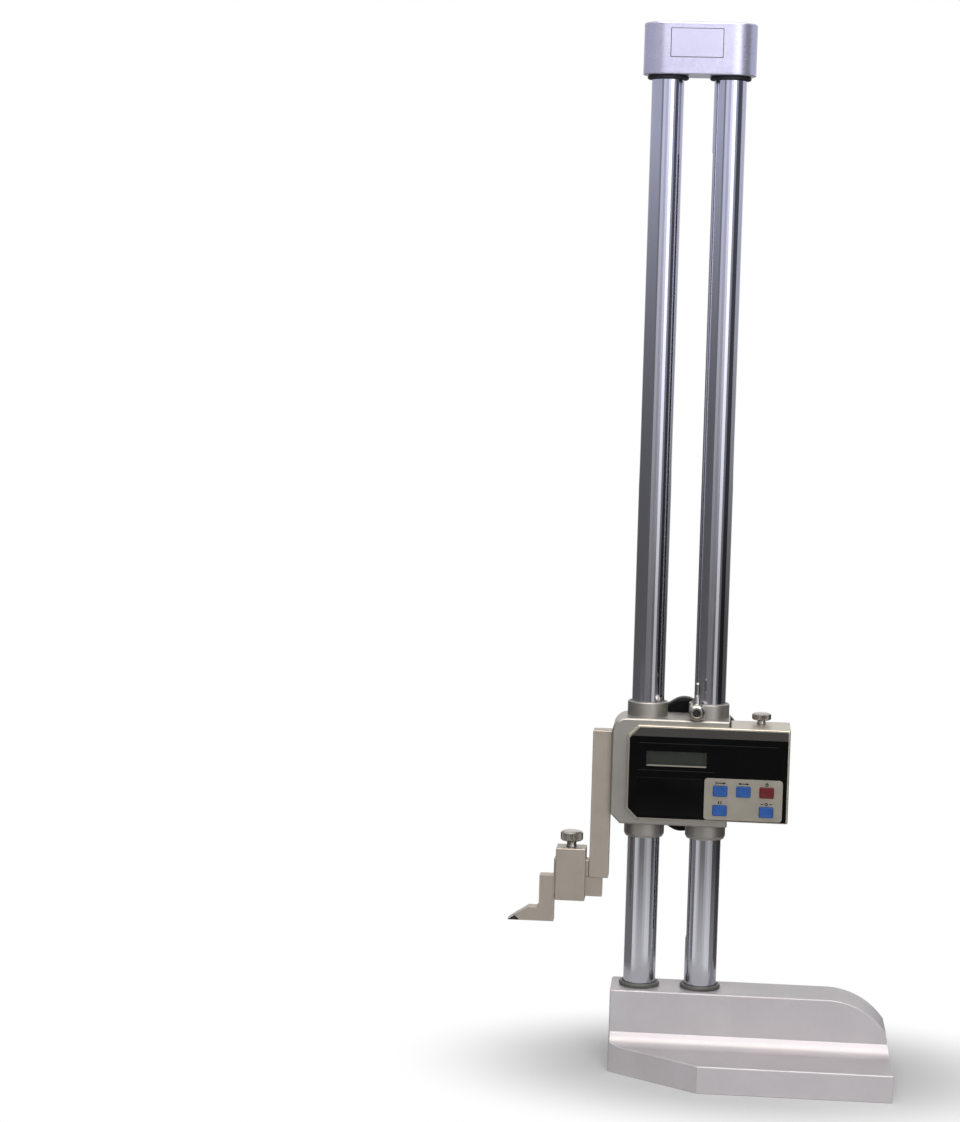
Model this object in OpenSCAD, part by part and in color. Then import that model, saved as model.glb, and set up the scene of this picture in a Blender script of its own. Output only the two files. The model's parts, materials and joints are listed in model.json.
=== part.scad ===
// Digital height gauge with twin guide columns, in millimetres.
// The origin lies on the foot plane, midway between the column axes.
// +X runs along the base to its rounded tail, the display faces -Y, +Z is up.

/* [Columns] */
// Diameter of the two guide columns
column_d = 20; // [18:0.5:22]
// Distance between the two column axes
column_spacing = 38; // [36:0.5:44]
// Free length of the columns between the base and the cap
column_free = 564; // [500:1:900]
// Depth of the column seats in the base and in the cap
column_seat = 18; // [12:1:22]
// Thickness of the rubber buffer rings on the columns
buffer_t = 2.6; // [1.5:0.1:3]

/* [Base] */
// Height of the base ridge
base_h = 51; // [46:1:70]
// Width of the base ridge
ridge_w = 36; // [30:1:46]
// Length of the base
base_len = 174; // [150:1:220]
// Base overhang beyond the left column axis
base_left_over = 17.5; // [14:0.5:24]
// Width of the foot flange
foot_w = 124; // [100:1:150]
// Height of the foot flange
foot_h = 17; // [12:1:22]
// Length of the slanted side of the foot at its left end
foot_slant = 56; // [40:1:70]
// Ledge of the foot beside the ridge at the left end
foot_ledge = 2.5; // [1:0.5:6]
// Set-back of the ridge's end from the foot's end
ridge_setback = 3; // [1:0.5:6]
// Ledge of the foot beyond the sloped end of the ridge
tail_ledge = 0.5; // [0.5:0.5:1]
// Height of the sloped strip along the foot of the ridge
strip_h = 7; // [5:0.5:9]
// Reach of the strip beyond the ridge at its foot
strip_out = 2; // [1:0.5:3]
// Radius of the fillet below the strip
strip_fillet = 4; // [2:0.5:5]
// Radius of the rounded tail
tail_r = 45; // [40:1:60]
// Length of the rounded tail
tail_len = 36.5; // [30:0.5:38]
// Depth of the relief under the foot
relief_depth = 3; // [1:0.5:6]
// Width of the rim left around that relief
relief_rim = 13; // [8:1:20]

/* [Top cap] */
// Height of the top cap
cap_h = 31.5; // [28:0.5:40]
// Wall of the cap around the columns
cap_wall = 5.4; // [4:0.2:8]
// Chamfer around the top of the cap
cap_chamfer = 1.2; // [0.5:0.1:3]

/* [Column screws] */
// Diameter of the bolts that hold the columns from below
foot_bolt_d = 8; // [6:1:10]
// Diameter of the screws that hold the cap
cap_screw_d = 6; // [4:1:8]
// Depth of the bolt head's recess in the base
foot_bolt_recess = 12; // [10:0.5:14]
// Length of thread in the column ends
column_thread = 14; // [10:1:20]

/* [Slider frame] */
// Height of the measuring face above the foot plane as modelled
rest_reading = 90.9; // [60:0.1:200]
// Height of the slider frame
frame_h = 66; // [62:1:80]
// Front of the frame ahead of the column axes
frame_front = 20; // [18:0.5:26]
// Back of the frame behind the column axes
frame_back = 14; // [14:0.5:20]
// Frame overhang beyond the left column axis
frame_left_over = 21; // [18:0.5:30]
// Frame overhang beyond the right column axis
frame_right_over = 13.3; // [13.2:0.1:16]
// Radius of the frame's upper left corner
frame_corner_r = 9; // [4:0.5:10]
// Chamfer of the frame's lower left corner
frame_chamfer = 6.3; // [3:0.1:8]

/* [Guide bushes] */
// Wall of the guide bushes
bush_wall = 2.5; // [2.2:0.1:3]
// Length of the guide bushes
bush_len = 30; // [24:0.5:31]
// Height of the upper collars above the frame
upper_collar = 8.7; // [8:0.1:14]
// Height of the lower collars below the frame
lower_collar = 10; // [6:0.1:14]
// Chamfer at the end of the lower collars
collar_chamfer = 1.8; // [0.5:0.1:2]
// Radial wall of the felt wiper rings
wiper_wall = 1.4; // [0.8:0.1:1.8]
// Thickness of the felt wiper rings
wiper_t = 2; // [1:0.1:4]

/* [Feed drive] */
// Gear module of pinion and rack
gear_module = 1; // [0.8:0.05:1.05]
// Teeth of the pinion
pinion_teeth = 14; // [13:1:15]
// Width of the pinion
pinion_w = 6; // [5:0.5:10]
// Width of the rack
rack_w = 5; // [4:0.5:7]
// Depth of the rack behind its teeth
rack_back = 3; // [2:0.1:4]
// Height of the drive shaft above the frame's lower face
shaft_rise = 32; // [29:0.5:34]
// Diameter of the drive shaft
shaft_d = 6; // [4:0.5:7]
// Wall of the shaft bushes
shaft_bush_wall = 1.5; // [1:0.1:1.6]
// Thickness of the bearing plate at the back
bearing_plate_t = 4; // [3.5:0.5:6]

/* [Hand wheel] */
// Radius of the hand wheel over its lobes
wheel_r = 42.5; // [36:0.5:50]
// Lobes of the hand wheel
wheel_lobes = 8; // [6:1:12]
// Radius of each lobe
lobe_r = 11.5; // [8:0.5:13]
// Depth of the hollows between the lobes
lobe_depth = 3; // [1.5:0.5:5]
// Thickness of the hand wheel
wheel_t = 12; // [9:0.5:16]
// Depth of the dish in the wheel's back
wheel_dish = 3; // [1:0.5:4]

/* [Display unit] */
// Width of the display unit
display_w = 99.4; // [92:0.1:115]
// Height of the display unit
display_h = 58; // [56:0.5:60]
// Set-back of the display unit from the frame's left side
display_inset = 10; // [7:0.5:13]
// Rise of the display unit above the frame's lower face
display_rise = 4.5; // [3:0.5:6]
// Depth of the light rim ahead of the frame
rim_depth = 3.5; // [3:0.1:5]
// Depth of the black bezel ahead of the rim
bezel_depth = 4.5; // [4:0.1:6]
// Height of the bezel's upper bevel
bevel_h = 4.7; // [3:0.1:6]
// Chamfer of the unit's left corners
display_chamfer = 6; // [3:0.5:8]
// Rim showing around the bezel
bezel_inset = 1.3; // [0.8:0.1:2]
// Wall of the display housing
housing_wall = 1.5; // [1.2:0.1:2]
// Depth of the battery box behind the frame's front
box_depth = 32; // [28:0.5:34]

/* [Display and keys] */
// Width of the readout window
window_w = 37; // [30:0.5:42]
// Height of the readout window
window_h = 9.5; // [7:0.5:12]
// Left edge of the window from the unit's left side
window_left = 11.8; // [9:0.1:14]
// Lower edge of the window above the unit's lower face
window_rise = 33.5; // [30:0.5:36]
// Width of the key field
keypad_w = 47.8; // [44:0.2:50]
// Height of the key field
keypad_h = 25.8; // [23:0.2:27]
// Set-back of the key field from the unit's right side
keypad_right = 3.8; // [3:0.1:6]
// Rise of the key field above the unit's lower face
keypad_rise = 1.8; // [1.4:0.1:3]
// Width of a key
key_w = 8.6; // [6:0.2:10]
// Height of a key
key_h = 6.5; // [5:0.1:8]
// Spacing of the keys along a row
key_pitch_x = 14.2; // [13:0.1:15]
// Spacing of the two rows of keys
key_pitch_z = 12; // [11:0.1:13]
// Height of the keys above the key field
key_stand = 1.2; // [0.8:0.1:2]
// Travel of the keys
key_travel = 0.6; // [0.3:0.1:0.6]

/* [Battery box] */
// Diameter of the battery
battery_d = 14.5; // [10:0.5:15]
// Length of the battery
battery_len = 25; // [20:0.5:28]
// Diameter of the lid screw's head
lid_screw_head_d = 11.8; // [8:0.1:14]
// Height of the lid screw's head
lid_screw_head_h = 4.4; // [3:0.1:6]
// Neck of the lid screw above the lid
lid_screw_neck = 2.6; // [1.5:0.1:4]
// Diameter of the lid screw's thread
lid_screw_d = 4; // [3:0.5:5]

/* [Slider clamp] */
// Offset of the clamp spindle from the right column axis
clamp_offset = 7.4; // [6.6:0.1:7.6]
// Height of the clamp spindle above the frame
clamp_rise = 5.2; // [5.1:0.1:5.6]
// Diameter of the clamp spindle
spindle_d = 5; // [4:0.5:5]
// Diameter of the clamp lever's hub
lever_hub_d = 9.8; // [8:0.1:10]
// Length of the clamp lever's hub
lever_hub_len = 10; // [8:0.5:12]
// Reach of the clamp lever's arm above the hub's axis
lever_reach = 18.3; // [15:0.1:26]
// Diameter of the lever's arm at its end
lever_arm_d = 2.7; // [1.6:0.1:3.6]

/* [Scriber bracket] */
// Width of the bracket's bar
bar_w = 12; // [10:0.5:16]
// Depth of the bracket's bar
bar_depth = 12; // [11:0.5:16]
// Middle of the bar ahead of the column axes
bar_ahead = 7; // [4:0.5:9]
// Drop of the bar below the frame
bar_drop = 36; // [30:0.5:46]
// Height of the bar above the frame's lower face
bar_rise = 56.5; // [45:0.5:60]
// Reach of the jaw beyond the bar
jaw_reach = 22; // [20:0.5:28]
// Height of the jaw
jaw_h = 10.8; // [8:0.1:14]
// Diameter of the bracket's screws
bracket_screw_d = 5; // [4:0.5:6]

/* [Scriber and its clamp] */
// Width of the scriber and the jaw across the gauge
scriber_w = 9; // [6:0.5:10]
// Height of the scriber's shank
shank_h = 12; // [9:0.5:14]
// Length of the scriber's shank
shank_len = 39.1; // [34:0.1:44]
// Overhang of the shank beyond the bar's left side
shank_out = 30.8; // [29:0.1:38]
// Drop of the measuring face below the shank
leg_drop = 17; // [12:0.5:24]
// Width of the scriber's leg
leg_w = 9.4; // [7:0.1:9.5]
// Length of the nose beyond the leg
nose_len = 19.3; // [14:0.1:24]
// Height of the nose
nose_h = 8.6; // [6:0.1:10]
// Run of the nose's bevel
bevel_run = 12.7; // [9:0.1:13]
// Length of the carbide tip along the measuring face
carbide_len = 7.6; // [5:0.1:9]
// Length of the clamp box along the jaw
clamp_len = 18.6; // [16:0.1:18.8]
// Wall of the clamp box
clamp_wall = 3.4; // [2.4:0.1:4.5]
// Thickness of the clamp box under its screw
clamp_top = 5.2; // [4:0.1:7]
// Gap between the clamp box and the bar
clamp_gap = 2.2; // [1.8:0.1:2.6]
// Diameter of the thumb screw's head
thumb_head_d = 14; // [10:0.1:16]
// Height of the thumb screw's head
thumb_head_h = 6.2; // [5:0.1:9]
// Neck of the thumb screw above the clamp box
thumb_neck = 4; // [2:0.5:6]
// Diameter of the thumb screw's thread
thumb_screw_d = 5; // [4:0.5:6]

/* [Clearances] */
// Radial gap of seated pieces
seat_gap = 0.02; // [0.01:0.01:0.05]
// Radial gap of running pieces
run_gap = 0.05; // [0.02:0.01:0.08]
// Gap of flat sliding pieces
slide_gap = 0.1; // [0.05:0.05:0.2]

/* [Hidden] */
$fn = 64;
past = 1;

// Columns, base and cap
column_r = column_d / 2;
column_x = column_spacing / 2;
base_left = -column_x - base_left_over;
base_right = base_left + base_len;
ridge_right = base_right - ridge_setback;
tail_left = ridge_right - tail_len;
tail_end = base_h - tail_r + sqrt(tail_r * tail_r - tail_len * tail_len);
strip_tilt = atan2(strip_out, strip_h);
strip_foot = ridge_w / 2 + strip_out + strip_fillet / tan((90 + strip_tilt) / 2);
cap_r = column_r + cap_wall;
cap_z = base_h + column_free;
column_z = base_h - column_seat;
column_top = cap_z + column_seat;
ring_r = column_r + run_gap + buffer_t / 2;
socket_ratio = 0.95;
head_sunk = 0.5;
bolt_head_d = 1.6 * foot_bolt_d;
bolt_head_h = 0.66 * foot_bolt_recess;
cap_head_d = 1.6 * cap_screw_d;
cap_roof = cap_h - column_seat;
cap_recess = cap_roof / 2;

// Heights along the slider
face_z = rest_reading;
shank_z = face_z + leg_drop;
jaw_z = shank_z + shank_h + slide_gap;
frame_z = jaw_z + bar_drop;
frame_top = frame_z + frame_h;
collar_top = frame_top + upper_collar;
bush_r = column_r + bush_wall;
upper_bush_z = collar_top - bush_len;
lower_bush_z = frame_z - lower_collar;
wiper_r = column_r + wiper_wall;

// Frame's faces
frame_left = -column_x - frame_left_over;
frame_right = column_x + frame_right_over;

// Rack and pinion, in mesh as modelled
pressure_angle = 20;
backlash = 0.2;
rack_addendum = 0.75 * gear_module;
dedendum = 1.25 * gear_module;
gear_pitch = PI * gear_module;
pitch_r = gear_module * pinion_teeth / 2;
tip_r = pitch_r + gear_module;
root_r = pitch_r - dedendum;
involute_r = pitch_r * cos(pressure_angle);
rack_sunk = 0.8;
rack_tip_x = column_x - column_r + rack_sunk;
rack_pitch_x = rack_tip_x + rack_addendum;
rack_root_x = rack_pitch_x + dedendum;
rack_back_x = rack_root_x + rack_back;
shaft_x = rack_pitch_x - pitch_r;
shaft_z = frame_z + shaft_rise;
shaft_r = shaft_d / 2;
shaft_bush_r = shaft_r + shaft_bush_wall;
cavity_r = tip_r + 0.6;
cavity_front = -pinion_w / 2 - 1.5;
rack_spare = 14;
top_spare = 15;
travel_up = cap_z - buffer_t - collar_top - top_spare;
rack_z = shaft_z - rest_reading - rack_spare;
rack_top = shaft_z + travel_up + rack_spare;
first_tooth = -floor((rest_reading + rack_spare) / gear_pitch - 1);
last_tooth = floor((travel_up + rack_spare) / gear_pitch - 1);
pinion_clear = 0.4;
rack_pin_d = 2.5;
rack_pin_inset = 6;

// Encoder chamber in the frame's front
disc_r = 13;
disc_t = 1;
chamber_r = disc_r + 1;
chamber_back = -bush_r - 0.7;
disc_y = chamber_back - 2.3;
disc_hub_r = shaft_r + 2;
disc_gap = 0.2;
front_bush_full = 6.4;
front_bush_wall = 1;
front_bush_len = min(front_bush_full, cavity_front - chamber_back - front_bush_wall);

// Bearing plate and hand wheel at the back
plate_back = frame_back + bearing_plate_t;
plate_half_w = 12;
plate_half_h = 19;
plate_screw_x = 6;
plate_screw_z = 14;
plate_screw_d = 3;
plate_screw_bite = 4;
plate_head_d = 2 * plate_screw_d;
plate_head_h = plate_screw_d / 2;
plate_head_seat = plate_back - plate_head_h;
plate_corner_r = 4;
rear_bush_front = pinion_w / 2 + 2;
wheel_front = plate_back + 1;
wheel_back = wheel_front + wheel_t;
hub_r = shaft_bush_r + 5;
lobe_centre = wheel_r - lobe_r;
wheel_rim = 6.5;
dish_r = wheel_r - lobe_depth - wheel_rim;
shaft_front = disc_y - 1;
wheel_screw_d = shaft_d * 0.6;
wheel_head_d = 1.8 * wheel_screw_d;
wheel_screw_bite = 8;
washer_t = 1.5;
washer_r = hub_r - 1.5;

// Display unit
display_left = frame_left + display_inset;
display_right = display_left + display_w;
display_z = frame_z + display_rise;
display_top = display_z + display_h;
rim_front = -frame_front - rim_depth;
bezel_front = rim_front - bezel_depth;
bezel_plate_t = 2;
bevel_foot = 0.5;
bezel_back = bezel_front + bezel_plate_t;
tray_floor = -frame_front - housing_wall;
box_left = frame_right + 0.7;
box_back = -frame_front + box_depth;
housing_screw_columns = [display_left + 8, column_x + 9];
housing_screw_rise = 9;
housing_screw_r = 1.5;
housing_screw_end = -frame_front + 5.5;
housing_head_r = 2.5;
housing_head_h = 0.7;
lid_t = housing_wall;
lid_z = display_top - lid_t;
box_floor = display_z + housing_wall;

// Readout, keys and electronics behind the bezel
window_x = display_left + window_left;
window_z = display_z + window_rise;
window_t = 1;
lcd_margin = 3;
lcd_t = 1.6;
board_t = 1.2;
board_back = tray_floor - 0.5;
board_front = board_back - board_t;
board_margin = 3;
board_gap = 1;
reader_half_w = 5;
reader_h = 7;
reader_gap = 0.5;
keypad_x = display_right - keypad_right - keypad_w;
keypad_z = display_z + keypad_rise;
keypad_t = 1;
keypad_proud = 0.2;
keypad_front = bezel_front - keypad_proud;
keypad_r = 2;
key_r = 0.8;
key_flange = 0.7;
key_flange_t = 0.6;
key_mid_x = keypad_x + keypad_w / 2;
key_mid_z = keypad_z + keypad_h / 2 - 0.9;
key_back = bezel_back + slide_gap + key_flange_t;
dome_r = 2.5;

// Battery box
lid_screw_x = box_left + (display_right - box_left) / 2 + 0.4;
lid_screw_inset = 10;
lid_screw_y = box_back - lid_screw_inset;
lid_screw_depth = 10;
post_r = lid_screw_d / 2 + 2;
battery_x = (box_left + display_right) / 2;
battery_y = lid_screw_y - post_r - battery_d / 2 - 1;
battery_z = box_floor + battery_d / 2 + run_gap;
contact_t = 0.6;
contact_half = 4;
contact_r = 2;
lid_screw_edge = 0.9;

// Slider clamp
clamp_x = column_x - clamp_offset;
clamp_z = frame_top + clamp_rise;
spindle_r = spindle_d / 2;
shoe_r = spindle_r - 0.3;
boss_r = spindle_r + 2.4;
boss_front = -bush_r - 2;
shoe_front = -sqrt(pow(bush_r, 2) - pow(clamp_offset, 2)) - 0.4;
hub_back = boss_front - 0.3;
hub_front = hub_back - lever_hub_len;
hub_chamfer = 1.4;
spindle_head_r = lever_hub_d / 2 - hub_chamfer - 1;
socket_d = 4.4;
socket_depth = 4;
arm_y = hub_back - 0.4 * lever_hub_len;
arm_len = lever_reach - lever_arm_d / 2;
arm_root_len = 0.55 * lever_reach;
arm_root_d = 0.75 * lever_hub_d;
arm_neck_d = 1.25 * lever_arm_d;
arm_low_d = 1.4 * lever_arm_d;

// Scriber bracket, clamp and scriber
bar_left = frame_left - bar_w;
bar_front = -bar_ahead - bar_depth / 2;
bar_back = -bar_ahead + bar_depth / 2;
bar_top = frame_z + bar_rise;
jaw_left = bar_left - jaw_reach;
jaw_top = jaw_z + jaw_h;
scriber_front = -bar_ahead - scriber_w / 2;
scriber_back = -bar_ahead + scriber_w / 2;
bracket_head_d = 1.6 * bracket_screw_d;
bracket_screw_bite = 7;
bracket_screw_inset = 14;
bracket_screw_heights = [frame_z + bracket_screw_inset, bar_top - bracket_screw_inset];
clamp_right = bar_left - clamp_gap;
clamp_left = clamp_right - clamp_len;
clamp_half = scriber_w / 2 + slide_gap + clamp_wall;
window_low = shank_z - slide_gap;
window_high = jaw_top + 2;
clamp_z0 = window_low - clamp_wall + 0.8;
clamp_z1 = window_high + clamp_top;
thumb_x = (clamp_left + clamp_right) / 2;
thumb_edge = 1.2;
shank_left = bar_left - shank_out;
nose_left = shank_left - nose_len;
nose_slope = nose_h / bevel_run;
nose_corner = 1.6;
carbide_top = carbide_len * 0.58;

// Node names
key_names = ["preset_key", "units_key", "power_key", "hold_key", "zero_key"];
key_cells = [[-1, 1], [0, 1], [1, 1], [-1, 0], [1, 0]];

// Shared shapes
module span(x, y, z) {
    translate([x[0], y[0], z[0]])
        cube([x[1] - x[0], y[1] - y[0], z[1] - z[0]]);
}

// A flat outline in X and Z, drawn out along Y
module slab(y) {
    translate([0, y[1], 0])
        rotate([90, 0, 0])
            linear_extrude(y[1] - y[0])
                children();
}

module rod_x(r, x, at) {
    translate([x[0], at[0], at[1]])
        rotate([0, 90, 0])
            cylinder(r = r, h = x[1] - x[0]);
}

module rod_y(r, y, at) {
    translate([at[0], y[0], at[1]])
        rotate([-90, 0, 0])
            cylinder(r = r, h = y[1] - y[0]);
}

module rod_z(r, z, at) {
    translate([at[0], at[1], z[0]])
        cylinder(r = r, h = z[1] - z[0]);
}

module ring_z(outer, inner, z, at) {
    difference() {
        rod_z(outer, z, at);
        rod_z(inner, [z[0] - past, z[1] + past], at);
    }
}

module at_columns() {
    for (side = [-1, 1])
        translate([side * column_x, 0, 0])
            children();
}

// A rectangle with round corners, from its lower left corner
module round_rect(x, z, w, h, r) {
    translate([x + r, z])
        square([w - 2 * r, h]);
    translate([x, z + r])
        square([w, h - 2 * r]);
    for (u = [r, w - r], v = [r, h - r])
        translate([x + u, z + v])
            circle(r);
}

// Base casting
module base_plan(rim) {
    inner = foot_w / 2 - rim;
    polygon([
        [base_left + rim, -ridge_w / 2 - foot_ledge + rim],
        [base_left + rim + foot_slant, -inner],
        [base_right - rim, -inner],
        [base_right - rim, inner],
        [base_left + rim + foot_slant, inner],
        [base_left + rim, ridge_w / 2 + foot_ledge - rim]
    ]);
}

module ridge() {
    difference() {
        span([base_left, ridge_right], [-ridge_w / 2, ridge_w / 2], [0, base_h]);
        difference() {
            span([tail_left, ridge_right + past], [-ridge_w, ridge_w], [base_h - tail_r, base_h + past]);
            rod_y(tail_r, [-ridge_w - past, ridge_w + past], [tail_left, base_h - tail_r]);
        }
    }
}

// Side view of the low part of the ridge with its sloped end
module ridge_end(left, low) {
    slab([-foot_w, foot_w])
        polygon([
            [left, low],
            [base_right - tail_ledge, low],
            [base_right - tail_ledge, foot_h],
            [ridge_right, tail_end],
            [left, tail_end]
        ]);
}

// Sloped strip along one side of the ridge, with a fillet down to the foot
module ridge_strip(side) {
    wall = ridge_w / 2;
    intersection() {
        difference() {
            translate([base_left, 0, 0])
                rotate([90, 0, 90])
                    linear_extrude(base_right - base_left)
                        polygon([
                            [side * wall, foot_h],
                            [side * strip_foot, foot_h],
                            [
                                side * (strip_foot - strip_fillet * cos(strip_tilt)),
                                foot_h + strip_fillet * (1 - sin(strip_tilt))
                            ],
                            [side * wall, foot_h + strip_h]
                        ]);
            rod_x(
                strip_fillet,
                [base_left - past, base_right + past],
                [side * strip_foot, foot_h + strip_fillet]
            );
        }
        ridge_end(base_left - past, foot_h - past);
        linear_extrude(base_h)
            base_plan(0);
    }
}

module base() {
    color("silver")
    difference() {
        union() {
            ridge();
            intersection() {
                ridge_end(tail_left, foot_h / 2);
                span([base_left, base_right], [-ridge_w / 2, ridge_w / 2], [0, base_h]);
            }
            linear_extrude(foot_h)
                base_plan(0);
            ridge_strip(-1);
            ridge_strip(1);
        }
        intersection() {
            translate([0, 0, -past])
                linear_extrude(relief_depth + past)
                    base_plan(relief_rim);
            span([column_x + bolt_head_d, base_right], [-foot_w, foot_w], [-past, relief_depth]);
        }
        at_columns() {
            rod_z(column_r + seat_gap, [column_z, base_h + past], [0, 0]);
            rod_z(foot_bolt_d / 2 + seat_gap, [0, base_h], [0, 0]);
            rod_z(bolt_head_d / 2 + run_gap, [-past, foot_bolt_recess], [0, 0]);
        }
    }
}

// Columns with their threaded ends
module column_body() {
    difference() {
        rod_z(column_r, [column_z, column_top], [0, 0]);
        rod_z(foot_bolt_d / 2 + seat_gap, [column_z - past, column_z + column_thread + past], [0, 0]);
        rod_z(cap_screw_d / 2 + seat_gap, [column_top - column_thread - past, column_top + past], [0, 0]);
    }
}

module left_column() {
    color("gainsboro")
        translate([-column_x, 0, 0])
            column_body();
}

module right_column() {
    color("gainsboro")
    difference() {
        translate([column_x, 0, 0])
            column_body();
        span(
            [0, rack_back_x + seat_gap],
            [-rack_w / 2 - seat_gap, rack_w / 2 + seat_gap],
            [rack_z, rack_top]
        );
        span(
            [0, shaft_x + tip_r + pinion_clear],
            [-pinion_w / 2 - pinion_clear, pinion_w / 2 + pinion_clear],
            [rack_z, rack_top]
        );
        rack_pin_holes();
    }
}

// Rack let into the inner side of the right column
function rack_tooth(k) =
    let (
        middle = shaft_z + k * gear_pitch,
        half = gear_pitch / 4 - backlash / 2,
        half_tip = half - rack_addendum * tan(pressure_angle),
        half_root = half + dedendum * tan(pressure_angle)
    )
    [
        [rack_root_x, middle - half_root],
        [rack_tip_x, middle - half_tip],
        [rack_tip_x, middle + half_tip],
        [rack_root_x, middle + half_root]
    ];

module rack_outline() {
    polygon(concat(
        [[rack_back_x, rack_top], [rack_back_x, rack_z], [rack_root_x, rack_z]],
        [for (k = [first_tooth : last_tooth]) each rack_tooth(k)],
        [[rack_root_x, rack_top]]
    ));
}

module rack_pin_holes() {
    for (z = [rack_z + rack_pin_inset, rack_top - rack_pin_inset])
        rod_x(rack_pin_d / 2 + seat_gap, [rack_tip_x, column_x], [0, z]);
}

module feed_rack() {
    color("dimgray")
    difference() {
        slab([-rack_w / 2, rack_w / 2])
            rack_outline();
        rack_pin_holes();
    }
}

module rack_pins() {
    color("gray")
    for (z = [rack_z + rack_pin_inset, rack_top - rack_pin_inset])
        rod_x(rack_pin_d / 2, [rack_root_x, column_x - seat_gap], [0, z]);
}

// Screws with a round head and a hexagon socket, standing on their head's bearing face
module socket_screw(d, head_d, head_h, length) {
    difference() {
        union() {
            cylinder(d = head_d, h = head_h);
            translate([0, 0, -length])
                cylinder(d = d, h = length);
        }
        translate([0, 0, head_h / 2])
            cylinder(d = socket_ratio * d, h = head_h, $fn = 6);
    }
}

module column_bolts() {
    color("dimgray")
    at_columns()
        translate([0, 0, foot_bolt_recess])
            mirror([0, 0, 1])
                socket_screw(
                    foot_bolt_d, bolt_head_d, bolt_head_h,
                    column_z - foot_bolt_recess + column_thread
                );
}

module cap_screws() {
    color("dimgray")
    at_columns()
        translate([0, 0, cap_z + cap_h - cap_recess])
            socket_screw(
                cap_screw_d, cap_head_d, cap_recess - head_sunk,
                cap_roof - cap_recess + column_thread
            );
}

module buffer_rings(z) {
    at_columns()
        translate([0, 0, z])
            rotate_extrude()
                translate([ring_r, 0])
                    circle(d = buffer_t);
}

module lower_buffers() {
    color("darkslategray")
        buffer_rings(base_h + buffer_t / 2);
}

module upper_buffers() {
    color("black")
        buffer_rings(cap_z - buffer_t / 2);
}

// Cap that ties the column tops together
module stadium(r, z, h, inset) {
    translate([0, 0, z]) {
        at_columns()
            cylinder(r1 = r, r2 = r - inset, h = h);
        translate([-column_x, 0, 0])
            rotate([90, 0, 90])
                linear_extrude(column_spacing)
                    polygon([[-r, 0], [r, 0], [r - inset, h], [-r + inset, h]]);
    }
}

module top_cap() {
    color("silver")
    difference() {
        union() {
            stadium(cap_r, cap_z, cap_h - cap_chamfer, 0);
            stadium(cap_r, cap_z + cap_h - cap_chamfer, cap_chamfer, cap_chamfer);
        }
        at_columns() {
            rod_z(column_r + seat_gap, [cap_z - past, column_top], [0, 0]);
            rod_z(cap_screw_d / 2 + seat_gap, [cap_z, cap_z + cap_h], [0, 0]);
            rod_z(cap_head_d / 2 + run_gap, [cap_z + cap_h - cap_recess, cap_z + cap_h + past], [0, 0]);
        }
    }
}

// Slider frame
module frame_outline() {
    difference() {
        polygon([
            [frame_left + frame_chamfer, frame_z],
            [frame_right, frame_z],
            [frame_right, frame_top],
            [frame_left, frame_top],
            [frame_left, frame_z + frame_chamfer]
        ]);
        difference() {
            translate([frame_left - past, frame_top - frame_corner_r])
                square([frame_corner_r + past, frame_corner_r + past]);
            translate([frame_left + frame_corner_r, frame_top - frame_corner_r])
                circle(frame_corner_r);
        }
    }
}

module clamp_boss() {
    rod_y(boss_r, [boss_front, 0], [clamp_x, clamp_z]);
    span([clamp_x - boss_r, clamp_x + boss_r], [boss_front, 0], [frame_top - past, clamp_z]);
}

module slider_frame() {
    color("darkgray")
    difference() {
        union() {
            slab([-frame_front, frame_back])
                frame_outline();
            difference() {
                clamp_boss();
                rod_y(bush_r, [-past, past], [clamp_x, clamp_z]);
                span(
                    [frame_left, frame_right],
                    [-column_r / 2, frame_back],
                    [frame_top, collar_top + bush_len]
                );
            }
        }
        at_columns()
            rod_z(bush_r + seat_gap, [frame_z - past, collar_top + bush_len], [0, 0]);
        rod_y(cavity_r, [cavity_front, frame_back + past], [shaft_x, shaft_z]);
        rod_y(shaft_bush_r + seat_gap, [chamber_back - past, 0], [shaft_x, shaft_z]);
        rod_y(chamber_r, [-frame_front - past, chamber_back], [shaft_x, shaft_z]);
        rod_y(spindle_r + run_gap, [boss_front - past, 0], [clamp_x, clamp_z]);
        plate_screw_holes();
        housing_screw_holes();
        bracket_screw_holes();
    }
}

// Guide bushes whose ends show as collars
module bush(x, z, wiper_z, cut_z) {
    difference() {
        rod_z(bush_r, [z, z + bush_len], [x, 0]);
        rod_z(column_r + run_gap, [z - past, z + bush_len + past], [x, 0]);
        rod_z(wiper_r + seat_gap, [wiper_z, cut_z], [x, 0]);
    }
}

module upper_bush(x) {
    bush(x, upper_bush_z, collar_top - wiper_t, collar_top + past);
}

module lower_bush(x) {
    intersection() {
        bush(x, lower_bush_z, lower_bush_z - past, lower_bush_z + wiper_t);
        translate([x, 0, lower_bush_z])
            union() {
                cylinder(r1 = bush_r - collar_chamfer / 2, r2 = bush_r, h = collar_chamfer);
                translate([0, 0, collar_chamfer])
                    cylinder(r = bush_r + past, h = bush_len);
            }
    }
}

module upper_left_bush() {
    color("silver")
        upper_bush(-column_x);
}

module upper_right_bush() {
    color("silver")
    difference() {
        upper_bush(column_x);
        rod_y(spindle_r + run_gap, [boss_front - past, 0], [clamp_x, clamp_z]);
    }
}

module lower_left_bush() {
    color("silver")
        lower_bush(-column_x);
}

module lower_right_bush() {
    color("silver")
        lower_bush(column_x);
}

module wiper_rings() {
    color("darkolivegreen")
    at_columns()
        for (z = [collar_top - wiper_t, lower_bush_z])
            ring_z(wiper_r, column_r + run_gap, [z, z + wiper_t], [0, 0]);
}

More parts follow.
